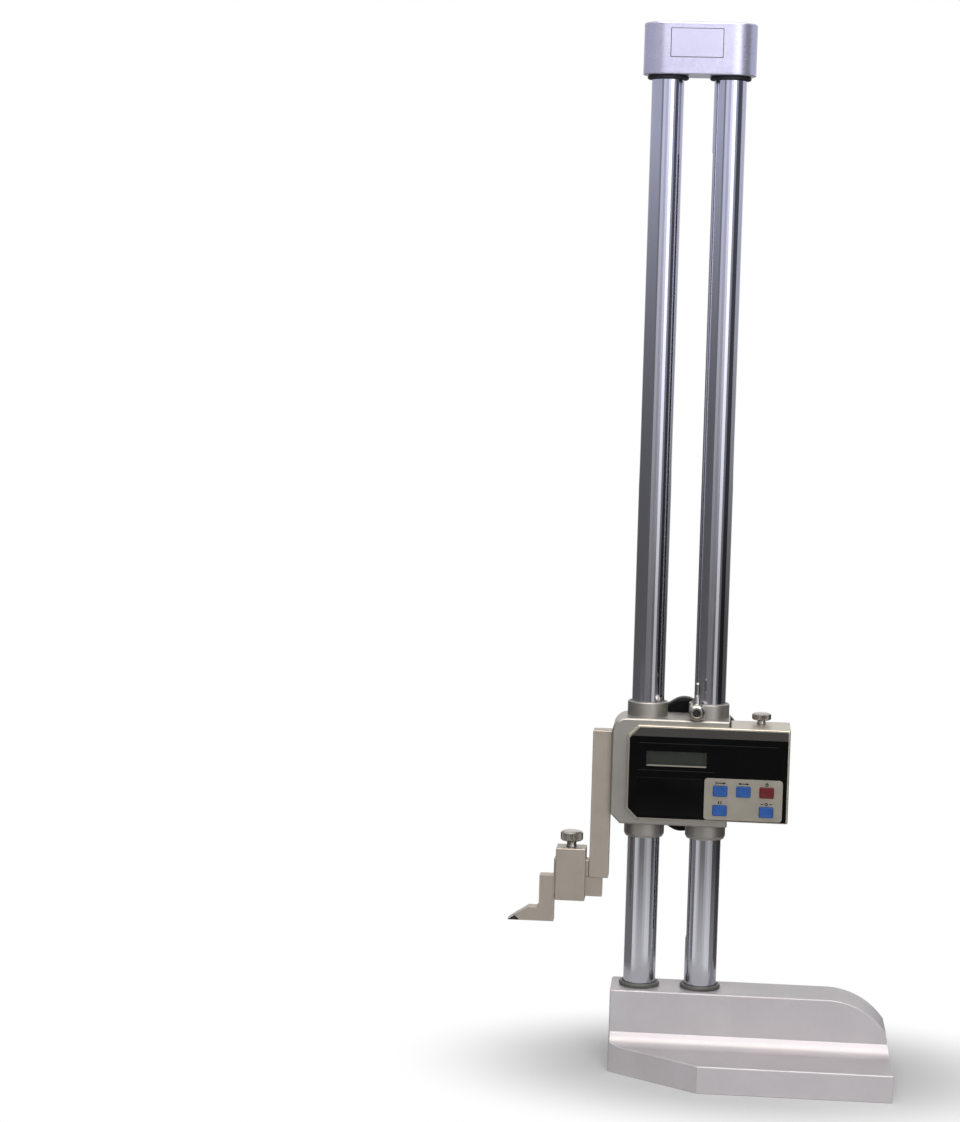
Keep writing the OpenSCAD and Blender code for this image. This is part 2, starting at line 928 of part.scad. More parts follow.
// Shaft bearings
module plate_screw_places() {
    for (u = [-1, 1], v = [-1, 1])
        translate([shaft_x + u * plate_screw_x, 0, shaft_z + v * plate_screw_z])
            children();
}

module plate_screw_holes() {
    plate_screw_places()
        rod_y(
            plate_screw_d / 2 + seat_gap,
            [frame_back - plate_screw_bite - past, plate_back + past],
            [0, 0]
        );
}

module bearing_plate() {
    color("gray")
    difference() {
        union() {
            slab([frame_back, plate_back])
                translate([shaft_x, shaft_z])
                    round_rect(
                        -plate_half_w, -plate_half_h,
                        2 * plate_half_w, 2 * plate_half_h, plate_corner_r
                    );
            rod_y(cavity_r - slide_gap, [rear_bush_front, frame_back + past], [shaft_x, shaft_z]);
        }
        at_columns()
            rod_z(bush_r + run_gap, [frame_z, frame_top], [0, 0]);
        rod_y(shaft_bush_r + seat_gap, [0, plate_back + past], [shaft_x, shaft_z]);
        plate_screw_holes();
        plate_screw_places()
            rod_y(plate_head_d / 2 + run_gap, [plate_head_seat, plate_back + past], [0, 0]);
    }
}

module bearing_plate_screws() {
    color("dimgray")
    plate_screw_places()
        translate([0, plate_head_seat, 0])
            rotate([-90, 0, 0])
                socket_screw(
                    plate_screw_d, plate_head_d, plate_head_h - slide_gap,
                    plate_head_seat - frame_back + plate_screw_bite
                );
}

module shaft_bush(y) {
    difference() {
        rod_y(shaft_bush_r, y, [shaft_x, shaft_z]);
        rod_y(shaft_r + run_gap, [y[0] - past, y[1] + past], [shaft_x, shaft_z]);
    }
}

module rear_shaft_bush() {
    color("goldenrod")
        shaft_bush([rear_bush_front, plate_back]);
}

module front_shaft_bush() {
    color("goldenrod")
        shaft_bush([chamber_back, chamber_back + front_bush_len]);
}

// Display housing: a shallow tray ahead of the frame and a battery box beside it
module display_outline(inset, right) {
    left = display_left + inset;
    low = display_z + inset;
    high = display_top - inset;
    polygon([
        [left + display_chamfer, low],
        [right - inset, low],
        [right - inset, high],
        [left + display_chamfer, high],
        [left, high - display_chamfer],
        [left, low + display_chamfer]
    ]);
}

module housing_screw_places() {
    for (x = housing_screw_columns, z = [display_z + housing_screw_rise, display_top - housing_screw_rise])
        translate([x, 0, z])
            children();
}

module housing_screw_holes() {
    housing_screw_places()
        rod_y(
            housing_screw_r + seat_gap,
            [-frame_front - past, housing_screw_end + slide_gap],
            [0, 0]
        );
}

module display_housing() {
    color("tan")
    difference() {
        union() {
            slab([rim_front, -frame_front])
                display_outline(0, display_right);
            span([box_left, display_right], [-frame_front - past, box_back], [display_z, lid_z]);
        }
        slab([rim_front - past, tray_floor])
            display_outline(housing_wall, display_right);
        span(
            [box_left + housing_wall, display_right - housing_wall],
            [tray_floor - past, -frame_front],
            [box_floor, lid_z]
        );
        difference() {
            span(
                [box_left + housing_wall, display_right - housing_wall],
                [-frame_front, box_back - housing_wall],
                [box_floor, display_top + past]
            );
            rod_z(post_r, [display_z, lid_z], [lid_screw_x, lid_screw_y]);
        }
        rod_z(
            lid_screw_d / 2 + run_gap,
            [lid_z - lid_screw_depth - past, lid_z + past],
            [lid_screw_x, lid_screw_y]
        );
        housing_screw_places() {
            rod_y(housing_screw_r + seat_gap, [tray_floor - past, 0], [0, 0]);
            rod_y(housing_head_r + run_gap, [tray_floor - past, tray_floor + housing_head_h], [0, 0]);
        }
    }
}

module housing_screws() {
    color("dimgray")
    housing_screw_places() {
        rod_y(housing_head_r, [tray_floor + slide_gap, tray_floor + housing_head_h], [0, 0]);
        rod_y(housing_screw_r, [tray_floor + housing_head_h / 2, housing_screw_end], [0, 0]);
    }
}

// Black bezel with the readout window and the key field
module bezel_side() {
    low = display_z + bezel_inset;
    high = display_top - bezel_inset;
    polygon([
        [rim_front, low],
        [bezel_front, low],
        [bezel_front, high - bevel_h],
        [rim_front - bevel_foot, high],
        [rim_front, high]
    ]);
}

module front_bezel() {
    color("black")
    difference() {
        intersection() {
            slab([bezel_front - past, rim_front])
                display_outline(bezel_inset, display_right);
            translate([display_left, 0, 0])
                rotate([90, 0, 90])
                    linear_extrude(display_w)
                        bezel_side();
        }
        difference() {
            slab([bezel_back, rim_front + past])
                display_outline(bezel_inset + housing_wall, display_right);
            span(
                [display_left, display_right],
                [bezel_back, rim_front],
                [display_top - bezel_inset - bevel_h, display_top]
            );
        }
        slab([bezel_front - past, bezel_back + past])
            translate([window_x, window_z])
                square([window_w, window_h]);
        slab([bezel_front - past, keypad_front + keypad_t])
            keypad_shape(seat_gap);
        key_holes();
    }
}

module readout_window() {
    color("lightgray", 0.4)
        slab([bezel_back - window_t, bezel_back])
            translate([window_x + seat_gap, window_z + seat_gap])
                square([window_w - 2 * seat_gap, window_h - 2 * seat_gap]);
}

module lcd_panel() {
    color("darkseagreen")
        slab([bezel_back, bezel_back + lcd_t])
            translate([window_x - lcd_margin, window_z - lcd_margin])
                square([window_w + 2 * lcd_margin, window_h + 2 * lcd_margin]);
}

module keypad_shape(grow) {
    round_rect(
        keypad_x - grow, keypad_z - grow,
        keypad_w + 2 * grow, keypad_h + 2 * grow, keypad_r
    );
}

module keypad_plate() {
    color("wheat")
    difference() {
        slab([keypad_front, keypad_front + keypad_t])
            keypad_shape(0);
        key_holes();
    }
}

module circuit_board() {
    color("seagreen")
    difference() {
        slab([board_front, board_back])
            display_outline(board_margin, display_right);
        span(
            [box_left + housing_wall, display_right],
            [board_front - past, board_back + past],
            [display_z, battery_z + battery_d / 2 + board_gap]
        );
    }
}

module encoder_reader() {
    color("black")
        span(
            [shaft_x - reader_half_w, shaft_x + reader_half_w],
            [-frame_front, disc_y - reader_gap],
            [shaft_z + disc_r - reader_h, shaft_z + disc_r]
        );
}

// Keys
module at_key(cell) {
    translate([key_mid_x + cell[0] * key_pitch_x, 0, key_mid_z + (cell[1] - 0.5) * key_pitch_z])
        children();
}

module key_shape(grow) {
    round_rect(-key_w / 2 - grow, -key_h / 2 - grow, key_w + 2 * grow, key_h + 2 * grow, key_r);
}

module key_holes() {
    for (cell = key_cells)
        at_key(cell)
            slab([keypad_front - past, bezel_back + past])
                key_shape(slide_gap);
}

module key(name) {
    at_key(key_cells[search([name], key_names)[0]]) {
        slab([keypad_front - key_stand, key_back])
            key_shape(0);
        slab([bezel_back + slide_gap, key_back])
            key_shape(key_flange);
    }
}

module preset_key() { color("royalblue") key("preset_key"); }
module units_key() { color("royalblue") key("units_key"); }
module power_key() { color("darkred") key("power_key"); }
module hold_key() { color("royalblue") key("hold_key"); }
module zero_key() { color("royalblue") key("zero_key"); }

module dome_switches() {
    color("gold")
    for (cell = key_cells)
        at_key(cell)
            rod_y(dome_r, [key_back + key_travel + slide_gap, board_front], [0, 0]);
}

// Battery box
module battery_lid() {
    color("tan")
    difference() {
        span([box_left, display_right], [-frame_front, box_back], [lid_z, display_top]);
        rod_z(lid_screw_d / 2 + run_gap, [lid_z - past, display_top + past], [lid_screw_x, lid_screw_y]);
    }
}

module battery() {
    color("steelblue")
        rod_x(
            battery_d / 2,
            [battery_x - battery_len / 2, battery_x + battery_len / 2],
            [battery_y, battery_z]
        );
}

module battery_contacts() {
    color("gold") {
        for (side = [-1, 1]) {
            wall = side < 0 ? box_left + housing_wall : display_right - housing_wall;
            end = battery_x + side * battery_len / 2;
            plate = [min(wall, wall - side * contact_t), max(wall, wall - side * contact_t)];
            span(
                plate,
                [battery_y - contact_half, battery_y + contact_half],
                [battery_z - contact_half, battery_z + contact_half]
            );
            rod_x(contact_r, [min(wall, end), max(wall, end)], [battery_y, battery_z]);
        }
    }
}

module lid_screw() {
    color("lightgray")
    translate([lid_screw_x, lid_screw_y, 0]) {
        rod_z(lid_screw_d / 2, [lid_z - lid_screw_depth, display_top + lid_screw_neck + past], [0, 0]);
        translate([0, 0, display_top + lid_screw_neck])
            thumb_head(lid_screw_head_d, lid_screw_head_h, lid_screw_edge);
    }
}

// Round thumb screw head with softened edges, standing on its lower face
module thumb_head(d, h, edge) {
    cylinder(d1 = d - 2 * edge, d2 = d, h = edge);
    translate([0, 0, edge])
        cylinder(d = d, h = h - 2 * edge);
    translate([0, 0, h - edge])
        cylinder(d1 = d, d2 = d - 2 * edge, h = edge);
}

// Slider clamp: a spindle that presses a shoe against the right column
module clamp_shoe() {
    color("goldenrod")
    difference() {
        rod_y(shoe_r, [shoe_front, 0], [clamp_x, clamp_z]);
        rod_z(column_r + run_gap, [clamp_z - bush_r, clamp_z + bush_r], [column_x, 0]);
        span(
            [clamp_x - bush_r, clamp_x + bush_r],
            [-column_r / 4, past],
            [clamp_z - bush_r, clamp_z + bush_r]
        );
        span(
            [clamp_x - bush_r, clamp_x + bush_r],
            [shoe_front - past, past],
            [collar_top - wiper_t - slide_gap, collar_top]
        );
    }
}

module clamp_spindle() {
    color("gray")
    difference() {
        union() {
            rod_y(spindle_r, [hub_front + socket_depth, shoe_front - slide_gap], [clamp_x, clamp_z]);
            rod_y(spindle_head_r, [hub_front, hub_front + socket_depth], [clamp_x, clamp_z]);
        }
        translate([clamp_x, hub_front - past, clamp_z])
            rotate([-90, 0, 0])
                cylinder(d = socket_d, h = socket_depth + past, $fn = 6);
    }
}

module clamp_lever() {
    color("lightgray")
    difference() {
        union() {
            translate([clamp_x, 0, clamp_z])
                rotate([90, 0, 0]) {
                    translate([0, 0, -hub_back])
                        cylinder(d = lever_hub_d, h = lever_hub_len - hub_chamfer);
                    translate([0, 0, -hub_front - hub_chamfer])
                        cylinder(d1 = lever_hub_d, d2 = lever_hub_d - 2 * hub_chamfer, h = hub_chamfer);
                }
            translate([clamp_x, arm_y, clamp_z]) {
                cylinder(d1 = arm_root_d, d2 = arm_neck_d, h = arm_root_len);
                cylinder(d1 = arm_low_d, d2 = lever_arm_d, h = arm_len);
                translate([0, 0, arm_len])
                    sphere(d = lever_arm_d);
            }
        }
        rod_y(spindle_r + seat_gap, [hub_front - past, hub_back + past], [clamp_x, clamp_z]);
        rod_y(spindle_head_r + seat_gap, [hub_front - past, hub_front + socket_depth], [clamp_x, clamp_z]);
    }
}

// Hand wheel, shaft, pinion and encoder disc turn together
module wheel_outline() {
    circle(wheel_r - lobe_depth);
    for (i = [0 : wheel_lobes - 1])
        rotate(90 + i * 360 / wheel_lobes)
            translate([lobe_centre, 0])
                circle(lobe_r);
}

module hand_wheel() {
    color("black")
    difference() {
        slab([wheel_front, wheel_back])
            translate([shaft_x, shaft_z])
                wheel_outline();
        difference() {
            rod_y(dish_r, [wheel_back - wheel_dish, wheel_back + past], [shaft_x, shaft_z]);
            rod_y(hub_r, [wheel_front, wheel_back + 2 * past], [shaft_x, shaft_z]);
        }
        rod_y(shaft_r + seat_gap, [wheel_front - past, wheel_back + past], [shaft_x, shaft_z]);
    }
}

module drive_shaft() {
    color("gray")
    difference() {
        rod_y(shaft_r, [shaft_front, wheel_back], [shaft_x, shaft_z]);
        rod_y(
            wheel_screw_d / 2 + seat_gap,
            [wheel_back - wheel_screw_bite - past, wheel_back + past],
            [shaft_x, shaft_z]
        );
    }
}

function involute_angle(r) =
    let (a = acos(involute_r / r))
    tan(a) * 180 / PI - a;

function flank_angle(r) =
    90 / pinion_teeth - backlash / 4 / pitch_r * 180 / PI
    + involute_angle(pitch_r) - involute_angle(max(r, involute_r));

function polar(r, a) = [r * cos(a), r * sin(a)];

module pinion_outline() {
    steps = 5;
    flank_radii = [
        root_r,
        for (i = [0 : steps]) involute_r + (tip_r - involute_r) * i / steps
    ];
    last = len(flank_radii) - 1;
    polygon([
        for (tooth = [0 : pinion_teeth - 1])
            let (middle = (tooth + 0.5) * 360 / pinion_teeth)
            each concat(
                [for (r = flank_radii) polar(r, middle - flank_angle(r))],
                [for (i = [last : -1 : 0]) polar(flank_radii[i], middle + flank_angle(flank_radii[i]))]
            )
    ]);
}

module feed_pinion() {
    color("goldenrod")
    difference() {
        slab([-pinion_w / 2, pinion_w / 2])
            translate([shaft_x, shaft_z])
                pinion_outline();
        rod_y(shaft_r + seat_gap, [-pinion_w, pinion_w], [shaft_x, shaft_z]);
    }
}

module encoder_disc() {
    color("lightgray")
    difference() {
        union() {
            rod_y(disc_r, [disc_y, disc_y + disc_t], [shaft_x, shaft_z]);
            rod_y(disc_hub_r, [disc_y, chamber_back - disc_gap], [shaft_x, shaft_z]);
        }
        rod_y(shaft_r + seat_gap, [disc_y - past, chamber_back + past], [shaft_x, shaft_z]);
    }
}

module wheel_washer() {
    color("lightgray")
    difference() {
        rod_y(washer_r, [wheel_back, wheel_back + washer_t], [shaft_x, shaft_z]);
        rod_y(
            wheel_screw_d / 2 + seat_gap,
            [wheel_back - past, wheel_back + washer_t + past],
            [shaft_x, shaft_z]
        );
    }
}

module wheel_screw() {
    color("gray")
        translate([shaft_x, wheel_back + washer_t, shaft_z])
            rotate([-90, 0, 0])
                socket_screw(wheel_screw_d, wheel_head_d, wheel_screw_d, washer_t + wheel_screw_bite);
}

// Scriber bracket: an upright bar with a jaw at its lower end
module bracket_screw_holes() {
    for (z = bracket_screw_heights)
        rod_x(
            bracket_screw_d / 2 + seat_gap,
            [bar_left - past, frame_left + bracket_screw_bite + past],
            [-bar_ahead, z]
        );
}

module scriber_bracket() {
    color("darkgray")
    difference() {
        union() {
            span([bar_left, frame_left], [bar_front, bar_back], [jaw_z, bar_top]);
            span([jaw_left, bar_left + past], [scriber_front, scriber_back], [jaw_z, jaw_top]);
        }
        bracket_screw_holes();
        for (z = bracket_screw_heights)
            rod_x(
                bracket_head_d / 2 + run_gap,
                [bar_left - past, bar_left + bracket_screw_d],
                [-bar_ahead, z]
            );
    }
}

module bracket_screws() {
    color("dimgray")
    for (z = bracket_screw_heights)
        translate([bar_left + bracket_screw_d, -bar_ahead, z])
            rotate([0, -90, 0])
                socket_screw(
                    bracket_screw_d, bracket_head_d, bracket_screw_d - head_sunk,
                    bar_w - bracket_screw_d + bracket_screw_bite
                );
}

// Clamp box that draws the scriber up against the jaw
module scriber_clamp() {
    color("darkgray")
    difference() {
        span(
            [clamp_left, clamp_right],
            [-bar_ahead - clamp_half, -bar_ahead + clamp_half],
            [clamp_z0, clamp_z1]
        );
        span(
            [clamp_left - past, clamp_right + past],
            [scriber_front - slide_gap, scriber_back + slide_gap],
            [window_low, window_high]
        );
        rod_z(thumb_screw_d / 2 + run_gap, [window_high - past, clamp_z1 + past], [thumb_x, -bar_ahead]);
    }
}

module clamp_thumb_screw() {
    color("lightgray")
    translate([thumb_x, -bar_ahead, 0]) {
        rod_z(thumb_screw_d / 2, [jaw_top + slide_gap, clamp_z1 + thumb_neck + past], [0, 0]);
        translate([0, 0, clamp_z1 + thumb_neck])
            thumb_head(thumb_head_d, thumb_head_h, thumb_edge);
    }
}

module scriber_outline() {
    polygon([
        [nose_left, face_z],
        [shank_left + leg_w, face_z],
        [shank_left + leg_w, shank_z],
        [shank_left + shank_len, shank_z],
        [shank_left + shank_len, shank_z + shank_h],
        [shank_left, shank_z + shank_h],
        [shank_left, face_z + nose_h + nose_corner],
        [shank_left - nose_corner, face_z + nose_h],
        [nose_left + bevel_run, face_z + nose_h]
    ]);
}

module carbide_outline() {
    polygon([
        [nose_left, face_z],
        [nose_left + carbide_len, face_z],
        [nose_left + carbide_top, face_z + carbide_top * nose_slope]
    ]);
}

module scriber() {
    color("darkgray")
        slab([scriber_front, scriber_back])
            difference() {
                scriber_outline();
                carbide_outline();
            }
}

module carbide_tip() {
    color("dimgray")
        slab([scriber_front, scriber_back])
            carbide_outline();
}

base();
left_column();
right_column();
feed_rack();
rack_pins();
column_bolts();
lower_buffers();
upper_buffers();
top_cap();
cap_screws();
slider_frame();
upper_left_bush();
upper_right_bush();
lower_left_bush();
lower_right_bush();
wiper_rings();
bearing_plate();
bearing_plate_screws();
rear_shaft_bush();
front_shaft_bush();
display_housing();
housing_screws();
front_bezel();
readout_window();
lcd_panel();
keypad_plate();
circuit_board();
dome_switches();
encoder_reader();
battery_lid();
battery();
battery_contacts();
clamp_shoe();
scriber_bracket();
bracket_screws();
hand_wheel();
drive_shaft();
feed_pinion();
encoder_disc();
wheel_washer();
wheel_screw();
clamp_lever();
clamp_spindle();
lid_screw();
scriber_clamp();
clamp_thumb_screw();
scriber();
carbide_tip();
preset_key();
units_key();
power_key();
hold_key();
zero_key();
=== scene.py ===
# Digital height gauge on two guide columns: its looks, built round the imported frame, in metres
import json
from math import acos, asin, atan2, cos, pi, radians, sin, sqrt, tan
from types import SimpleNamespace

import bmesh
import bpy
from mathutils import Matrix, Vector


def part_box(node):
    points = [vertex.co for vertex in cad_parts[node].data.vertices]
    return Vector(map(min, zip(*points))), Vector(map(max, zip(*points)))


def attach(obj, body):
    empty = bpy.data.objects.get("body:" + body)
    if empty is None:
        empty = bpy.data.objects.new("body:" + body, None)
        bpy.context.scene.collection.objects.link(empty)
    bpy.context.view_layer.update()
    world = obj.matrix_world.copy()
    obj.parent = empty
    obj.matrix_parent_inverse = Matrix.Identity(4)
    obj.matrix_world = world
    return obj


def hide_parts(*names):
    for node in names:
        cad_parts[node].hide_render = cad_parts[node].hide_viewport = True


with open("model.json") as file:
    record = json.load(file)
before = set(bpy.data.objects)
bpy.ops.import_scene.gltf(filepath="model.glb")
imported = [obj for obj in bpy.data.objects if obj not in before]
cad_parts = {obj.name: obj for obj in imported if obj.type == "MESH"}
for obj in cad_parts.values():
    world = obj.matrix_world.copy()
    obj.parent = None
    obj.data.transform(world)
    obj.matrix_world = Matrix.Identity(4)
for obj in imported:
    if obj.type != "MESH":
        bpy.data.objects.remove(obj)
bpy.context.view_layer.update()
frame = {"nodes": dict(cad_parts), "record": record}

mm = 0.001
record = frame["record"]
bodyOf = {node: body for body, nodes in record["behaviour"]["bodies"].items() for node in nodes}
slotOf = {row["node"]: row["material_slot"] for row in record["subparts"]}


def spanOf(node):  # a node's lowest and highest corner, in mm
    low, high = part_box(node)
    return low / mm, high / mm


def middleOf(node):
    return [(low + high) / 2 for low, high in zip(*spanOf(node))]


def camel(node):  # a node's name as a piece's name
    first, *rest = node.split("_")
    return first + "".join(word.title() for word in rest)


def named(values):  # a dictionary's values, read by name
    return SimpleNamespace(**values)


def linkNew(name, data):  # a new object in the scene
    thing = bpy.data.objects.new(name, data)
    bpy.context.scene.collection.objects.link(thing)
    return thing


# Node helpers

def addNode(tree, kind, inputs=None, **settings):
    node = tree.nodes.new("ShaderNode" + kind)
    for key, value in settings.items():
        setattr(node, key, value)
    for socket, value in (inputs or {}).items():
        if isinstance(value, bpy.types.NodeSocket):
            tree.links.new(value, node.inputs[socket])
        else:
            node.inputs[socket].default_value = value
    return node


def maths(tree, how, *values, clamp=False):
    return addNode(tree, "Math", dict(enumerate(values)), operation=how, use_clamp=clamp).outputs[0]


def vectorMaths(tree, how, *values):
    return addNode(tree, "VectorMath", dict(enumerate(values)), operation=how).outputs


def noise(tree, **inputs):
    return addNode(tree, "TexNoise", inputs).outputs[0]


def objectPlace(tree):
    return addNode(tree, "TexCoord").outputs["Object"]


def spread(tree, value, low, high):  # 0 to 1 becomes low to high
    return addNode(tree, "MapRange", {"Value": value, "To Min": low, "To Max": high}).outputs[0]


def gather(tree, value, low, high, shape="LINEAR"):  # low to high becomes 0 to 1
    limits = {"Value": value, "From Min": low, "From Max": high}
    return addNode(tree, "MapRange", limits, interpolation_type=shape).outputs[0]


def colour(red, green, blue):  # screen values of 0 to 255 to linear light
    def linear(v):
        v /= 255
        return v / 12.92 if v <= 0.04045 else ((v + 0.055) / 1.055) ** 2.4
    return (linear(red), linear(green), linear(blue), 1.0)


def blendColour(tree, amount, first, second):  # a tuple of three holds screen values
    def known(tint):
        return colour(*tint) if isinstance(tint, tuple) and len(tint) == 3 else tint
    return addNode(tree, "Mix", {0: amount, 6: known(first), 7: known(second)}, data_type="RGBA").outputs[2]


# Shared effects, each a node group with one output

def newGroup(name, output, **values):
    group = bpy.data.node_groups.new(name, "ShaderNodeTree")
    for label, value in values.items():
        kind = "NodeSocketVector" if isinstance(value, tuple) else "NodeSocketFloat"
        group.interface.new_socket(label, in_out="INPUT", socket_type=kind).default_value = value
    group.interface.new_socket(output, in_out="OUTPUT", socket_type="NodeSocketFloat")
    return group, group.nodes.new("NodeGroupInput").outputs, group.nodes.new("NodeGroupOutput").inputs[0]


def buildFineGrain():  # even cloudy grain, Scale in features per metre
    group, start, end = newGroup("fineGrain", "Value", Scale=1000.0, Detail=3.0, Contrast=1.0)
    grain = noise(
        group, Vector=objectPlace(group), Scale=start["Scale"], Detail=start["Detail"], Roughness=0.6)
    centred = maths(group, "SUBTRACT", grain, 0.5)
    group.links.new(maths(group, "MULTIPLY_ADD", centred, start["Contrast"], 0.5, clamp=True), end)
    return group


def buildBrushLines():  # grinding or brushing lines, drawn out where Stretch is small
    group, start, end = newGroup("brushLines", "Value", Stretch=(3000.0, 3000.0, 40.0))
    drawn = vectorMaths(group, "MULTIPLY", objectPlace(group), start["Stretch"])[0]
    group.links.new(noise(group, Vector=drawn, Scale=1.0, Detail=4.0, Roughness=0.7), end)
    return group


def buildEdgeWearAndHighlight():  # 1 along edges, in patches: partly where a finish rubs thin, partly a painted edge highlight
    group, start, end = newGroup("edgeWear", "Mask", Reach=0.0015, Scale=180.0, Gain=4.0)
    soft = addNode(group, "Bevel", {"Radius": start["Reach"]}, samples=4).outputs[0]
    hard = addNode(group, "NewGeometry").outputs["Normal"]
    facing = vectorMaths(group, "DOT_PRODUCT", soft, hard)["Value"]
    patch = noise(group, Vector=objectPlace(group), Scale=start["Scale"], Detail=3.0)
    broken = maths(group, "MULTIPLY", maths(group, "SUBTRACT", 1.0, facing), patch)
    group.links.new(maths(group, "MULTIPLY", broken, start["Gain"], clamp=True), end)
    return group


def buildHandMarks():  # faint smears where hands have been
    group, start, end = newGroup("handMarks", "Mask", Scale=45.0, Cover=0.5)
    large = noise(group, Vector=objectPlace(group), Scale=start["Scale"], Detail=5.0, Distortion=0.8)
    bare = maths(group, "SUBTRACT", 1.0, start["Cover"])
    group.links.new(gather(group, large, bare, 0.85, "SMOOTHSTEP"), end)
    return group


def buildSettledDust():  # fine dust on faces that look up
    group, start, end = newGroup("settledDust", "Mask", Scale=900.0, Amount=0.3)
    specks = noise(group, Vector=objectPlace(group), Scale=start["Scale"], Detail=6.0)
    upward = addNode(group, "SeparateXYZ", {0: addNode(group, "NewGeometry").outputs["Normal"]})
    thin = maths(group, "MULTIPLY", specks, gather(group, upward.outputs["Z"], 0.5, 1.0))
    group.links.new(maths(group, "MULTIPLY", thin, start["Amount"]), end)
    return group


fineGrain = buildFineGrain()
brushLines = buildBrushLines()
edgeWear = buildEdgeWearAndHighlight()
handMarks = buildHandMarks()
settledDust = buildSettledDust()


def effect(tree, group, **values):  # places a shared effect and gives its output
    return addNode(tree, "Group", values, node_tree=group).outputs[0]


# edges turn lighter: partly rubbed wear, partly painted highlight along the edges
def rubbedAndHighlitEdges(tree, look):
    return effect(tree, edgeWear, Reach=look["edge"] * mm, Gain=look["wear"])


# Finishes

shared = dict(
    cloudContrast=2.2, fleckContrast=2.6, mouldContrast=2.0, steelCover=0.55, cover=0.5, stainShare=0.35,
    filmShare=0.25, smearRough=0.08, paleDust=(196, 190, 180), greyDust=(150, 146, 138))


def newFinish(name):
    material = bpy.data.materials.new(name)
    material.use_nodes = True
    return material, material.node_tree


def dress(material, tint, rough, height=None, depth=0.0, fixed=None):  # joins all to the shader, depth in mm
    tree = material.node_tree
    shader = tree.nodes["Principled BSDF"]
    tree.links.new(tint, shader.inputs["Base Color"])
    tree.links.new(rough, shader.inputs["Roughness"])
    if height:
        bump = addNode(tree, "Bump", {"Height": height, "Strength": 1.0, "Distance": depth * mm})
        tree.links.new(bump.outputs[0], shader.inputs["Normal"])
    for label, value in (fixed or {}).items():
        shader.inputs[label].default_value = value
    return material


def paintedMetal(name, look):  # satin paint or blasted metal with a little life in it
    material, tree = newFinish(name)
    tone = effect(tree, fineGrain, Scale=look["cloud"], Contrast=shared["cloudContrast"])
    fleck = effect(tree, fineGrain, Scale=look["fleck"], Contrast=shared["fleckContrast"])
    ground = blendColour(tree, tone, look["dark"], look["light"])
    speckled = blendColour(tree, spread(tree, fleck, 0.0, look["fleckShare"]), ground, look["bright"])
    # edges lightened towards the bright colour: wear and painted edge highlight
    wornAndHighlit = blendColour(tree, rubbedAndHighlitEdges(tree, look), speckled, look["bright"])
    dusty = blendColour(tree, effect(tree, settledDust, Amount=look["dust"]), wornAndHighlit, shared["paleDust"])
    rough = spread(tree, fleck, *look["rough"])
    return dress(material, dusty, rough, fleck, look["skin"], {"Metallic": look["metal"]})


def groundSteel(name, look):  # flat steel with fine grinding lines
    material, tree = newFinish(name)
    lines = effect(tree, brushLines, Stretch=look["lines"])
    smear = effect(tree, handMarks, Scale=look["smear"], Cover=shared["steelCover"])
    ground = blendColour(tree, lines, look["dark"], look["light"])
    stained = blendColour(tree, spread(tree, smear, 0.0, shared["stainShare"]), ground, look["stain"])
    # edges lightened towards the bright colour: wear and painted edge highlight
    wornAndHighlit = blendColour(tree, rubbedAndHighlitEdges(tree, look), stained, look["bright"])
    rough = spread(tree, lines, *look["rough"])
    return dress(material, wornAndHighlit, rough, lines, look["skin"], {"Metallic": look["metal"]})


def platedMetal(name, look):  # bright plating that mirrors the room
    material, tree = newFinish(name)
    lines = effect(tree, brushLines, Stretch=look["lines"])
    smear = effect(tree, handMarks, Scale=look["smear"], Cover=shared["cover"])
    tinted = blendColour(tree, lines, look["dark"], look["light"])
    filmed = blendColour(tree, spread(tree, smear, 0.0, shared["filmShare"]), tinted, look["film"])
    rough = maths(tree, "MULTIPLY_ADD", smear, look["smearRough"], spread(tree, lines, *look["rough"]))
    return dress(material, filmed, rough, lines, look["skin"], {"Metallic": 1.0})


def mouldedPlastic(name, look):  # plastic and rubber with a moulded skin
    material, tree = newFinish(name)
    grain = effect(tree, fineGrain, Scale=look["grain"], Contrast=shared["mouldContrast"])
    tone = effect(tree, fineGrain, Scale=look["cloud"], Contrast=shared["mouldContrast"])
    smear = effect(tree, handMarks, Scale=look["smear"], Cover=shared["cover"])
    ground = blendColour(tree, tone, look["dark"], look["light"])
    # edges lightened: wear and painted edge highlight
    wornAndHighlit = blendColour(tree, rubbedAndHighlitEdges(tree, look), ground, look["rubbed"])
    dusty = blendColour(tree, effect(tree, settledDust, Amount=look["dust"]), wornAndHighlit, shared["greyDust"])
    rough = maths(tree, "MULTIPLY_ADD", smear, shared["smearRough"], spread(tree, grain, *look["rough"]))
    return dress(material, dusty, rough, grain, look["skin"], {"Specular IOR Level": look["gloss"]})


def clearWindow(name, look):  # thin clear cover: mostly see-through, with a gloss
    material, tree = newFinish(name)
    smear = effect(tree, handMarks, Scale=look["smear"], Cover=look["cover"])
    tree.links.new(spread(tree, smear, *look["veil"]), tree.nodes["Principled BSDF"].inputs["Alpha"])
    tint = blendColour(tree, smear, look["dark"], look["light"])
    return dress(material, tint, spread(tree, smear, *look["rough"]))


def displayPanel(name, look):  # blank liquid crystal panel, a little lighter towards its lower edge
    material, tree = newFinish(name)
    low, high = spanOf("lcd_panel")
    parts = addNode(tree, "SeparateXYZ", {0: objectPlace(tree)})
    height = gather(tree, parts.outputs["Z"], low.z * mm, high.z * mm)
    tone = blendColour(tree, height, look["light"], look["dark"])
    cells = effect(tree, fineGrain, Scale=look["cells"], Contrast=look["contrast"])
    mottled = blendColour(tree, spread(tree, cells, 0.0, look["cellShare"]), tone, look["cell"])
    return dress(material, mottled, spread(tree, cells, *look["rough"]))


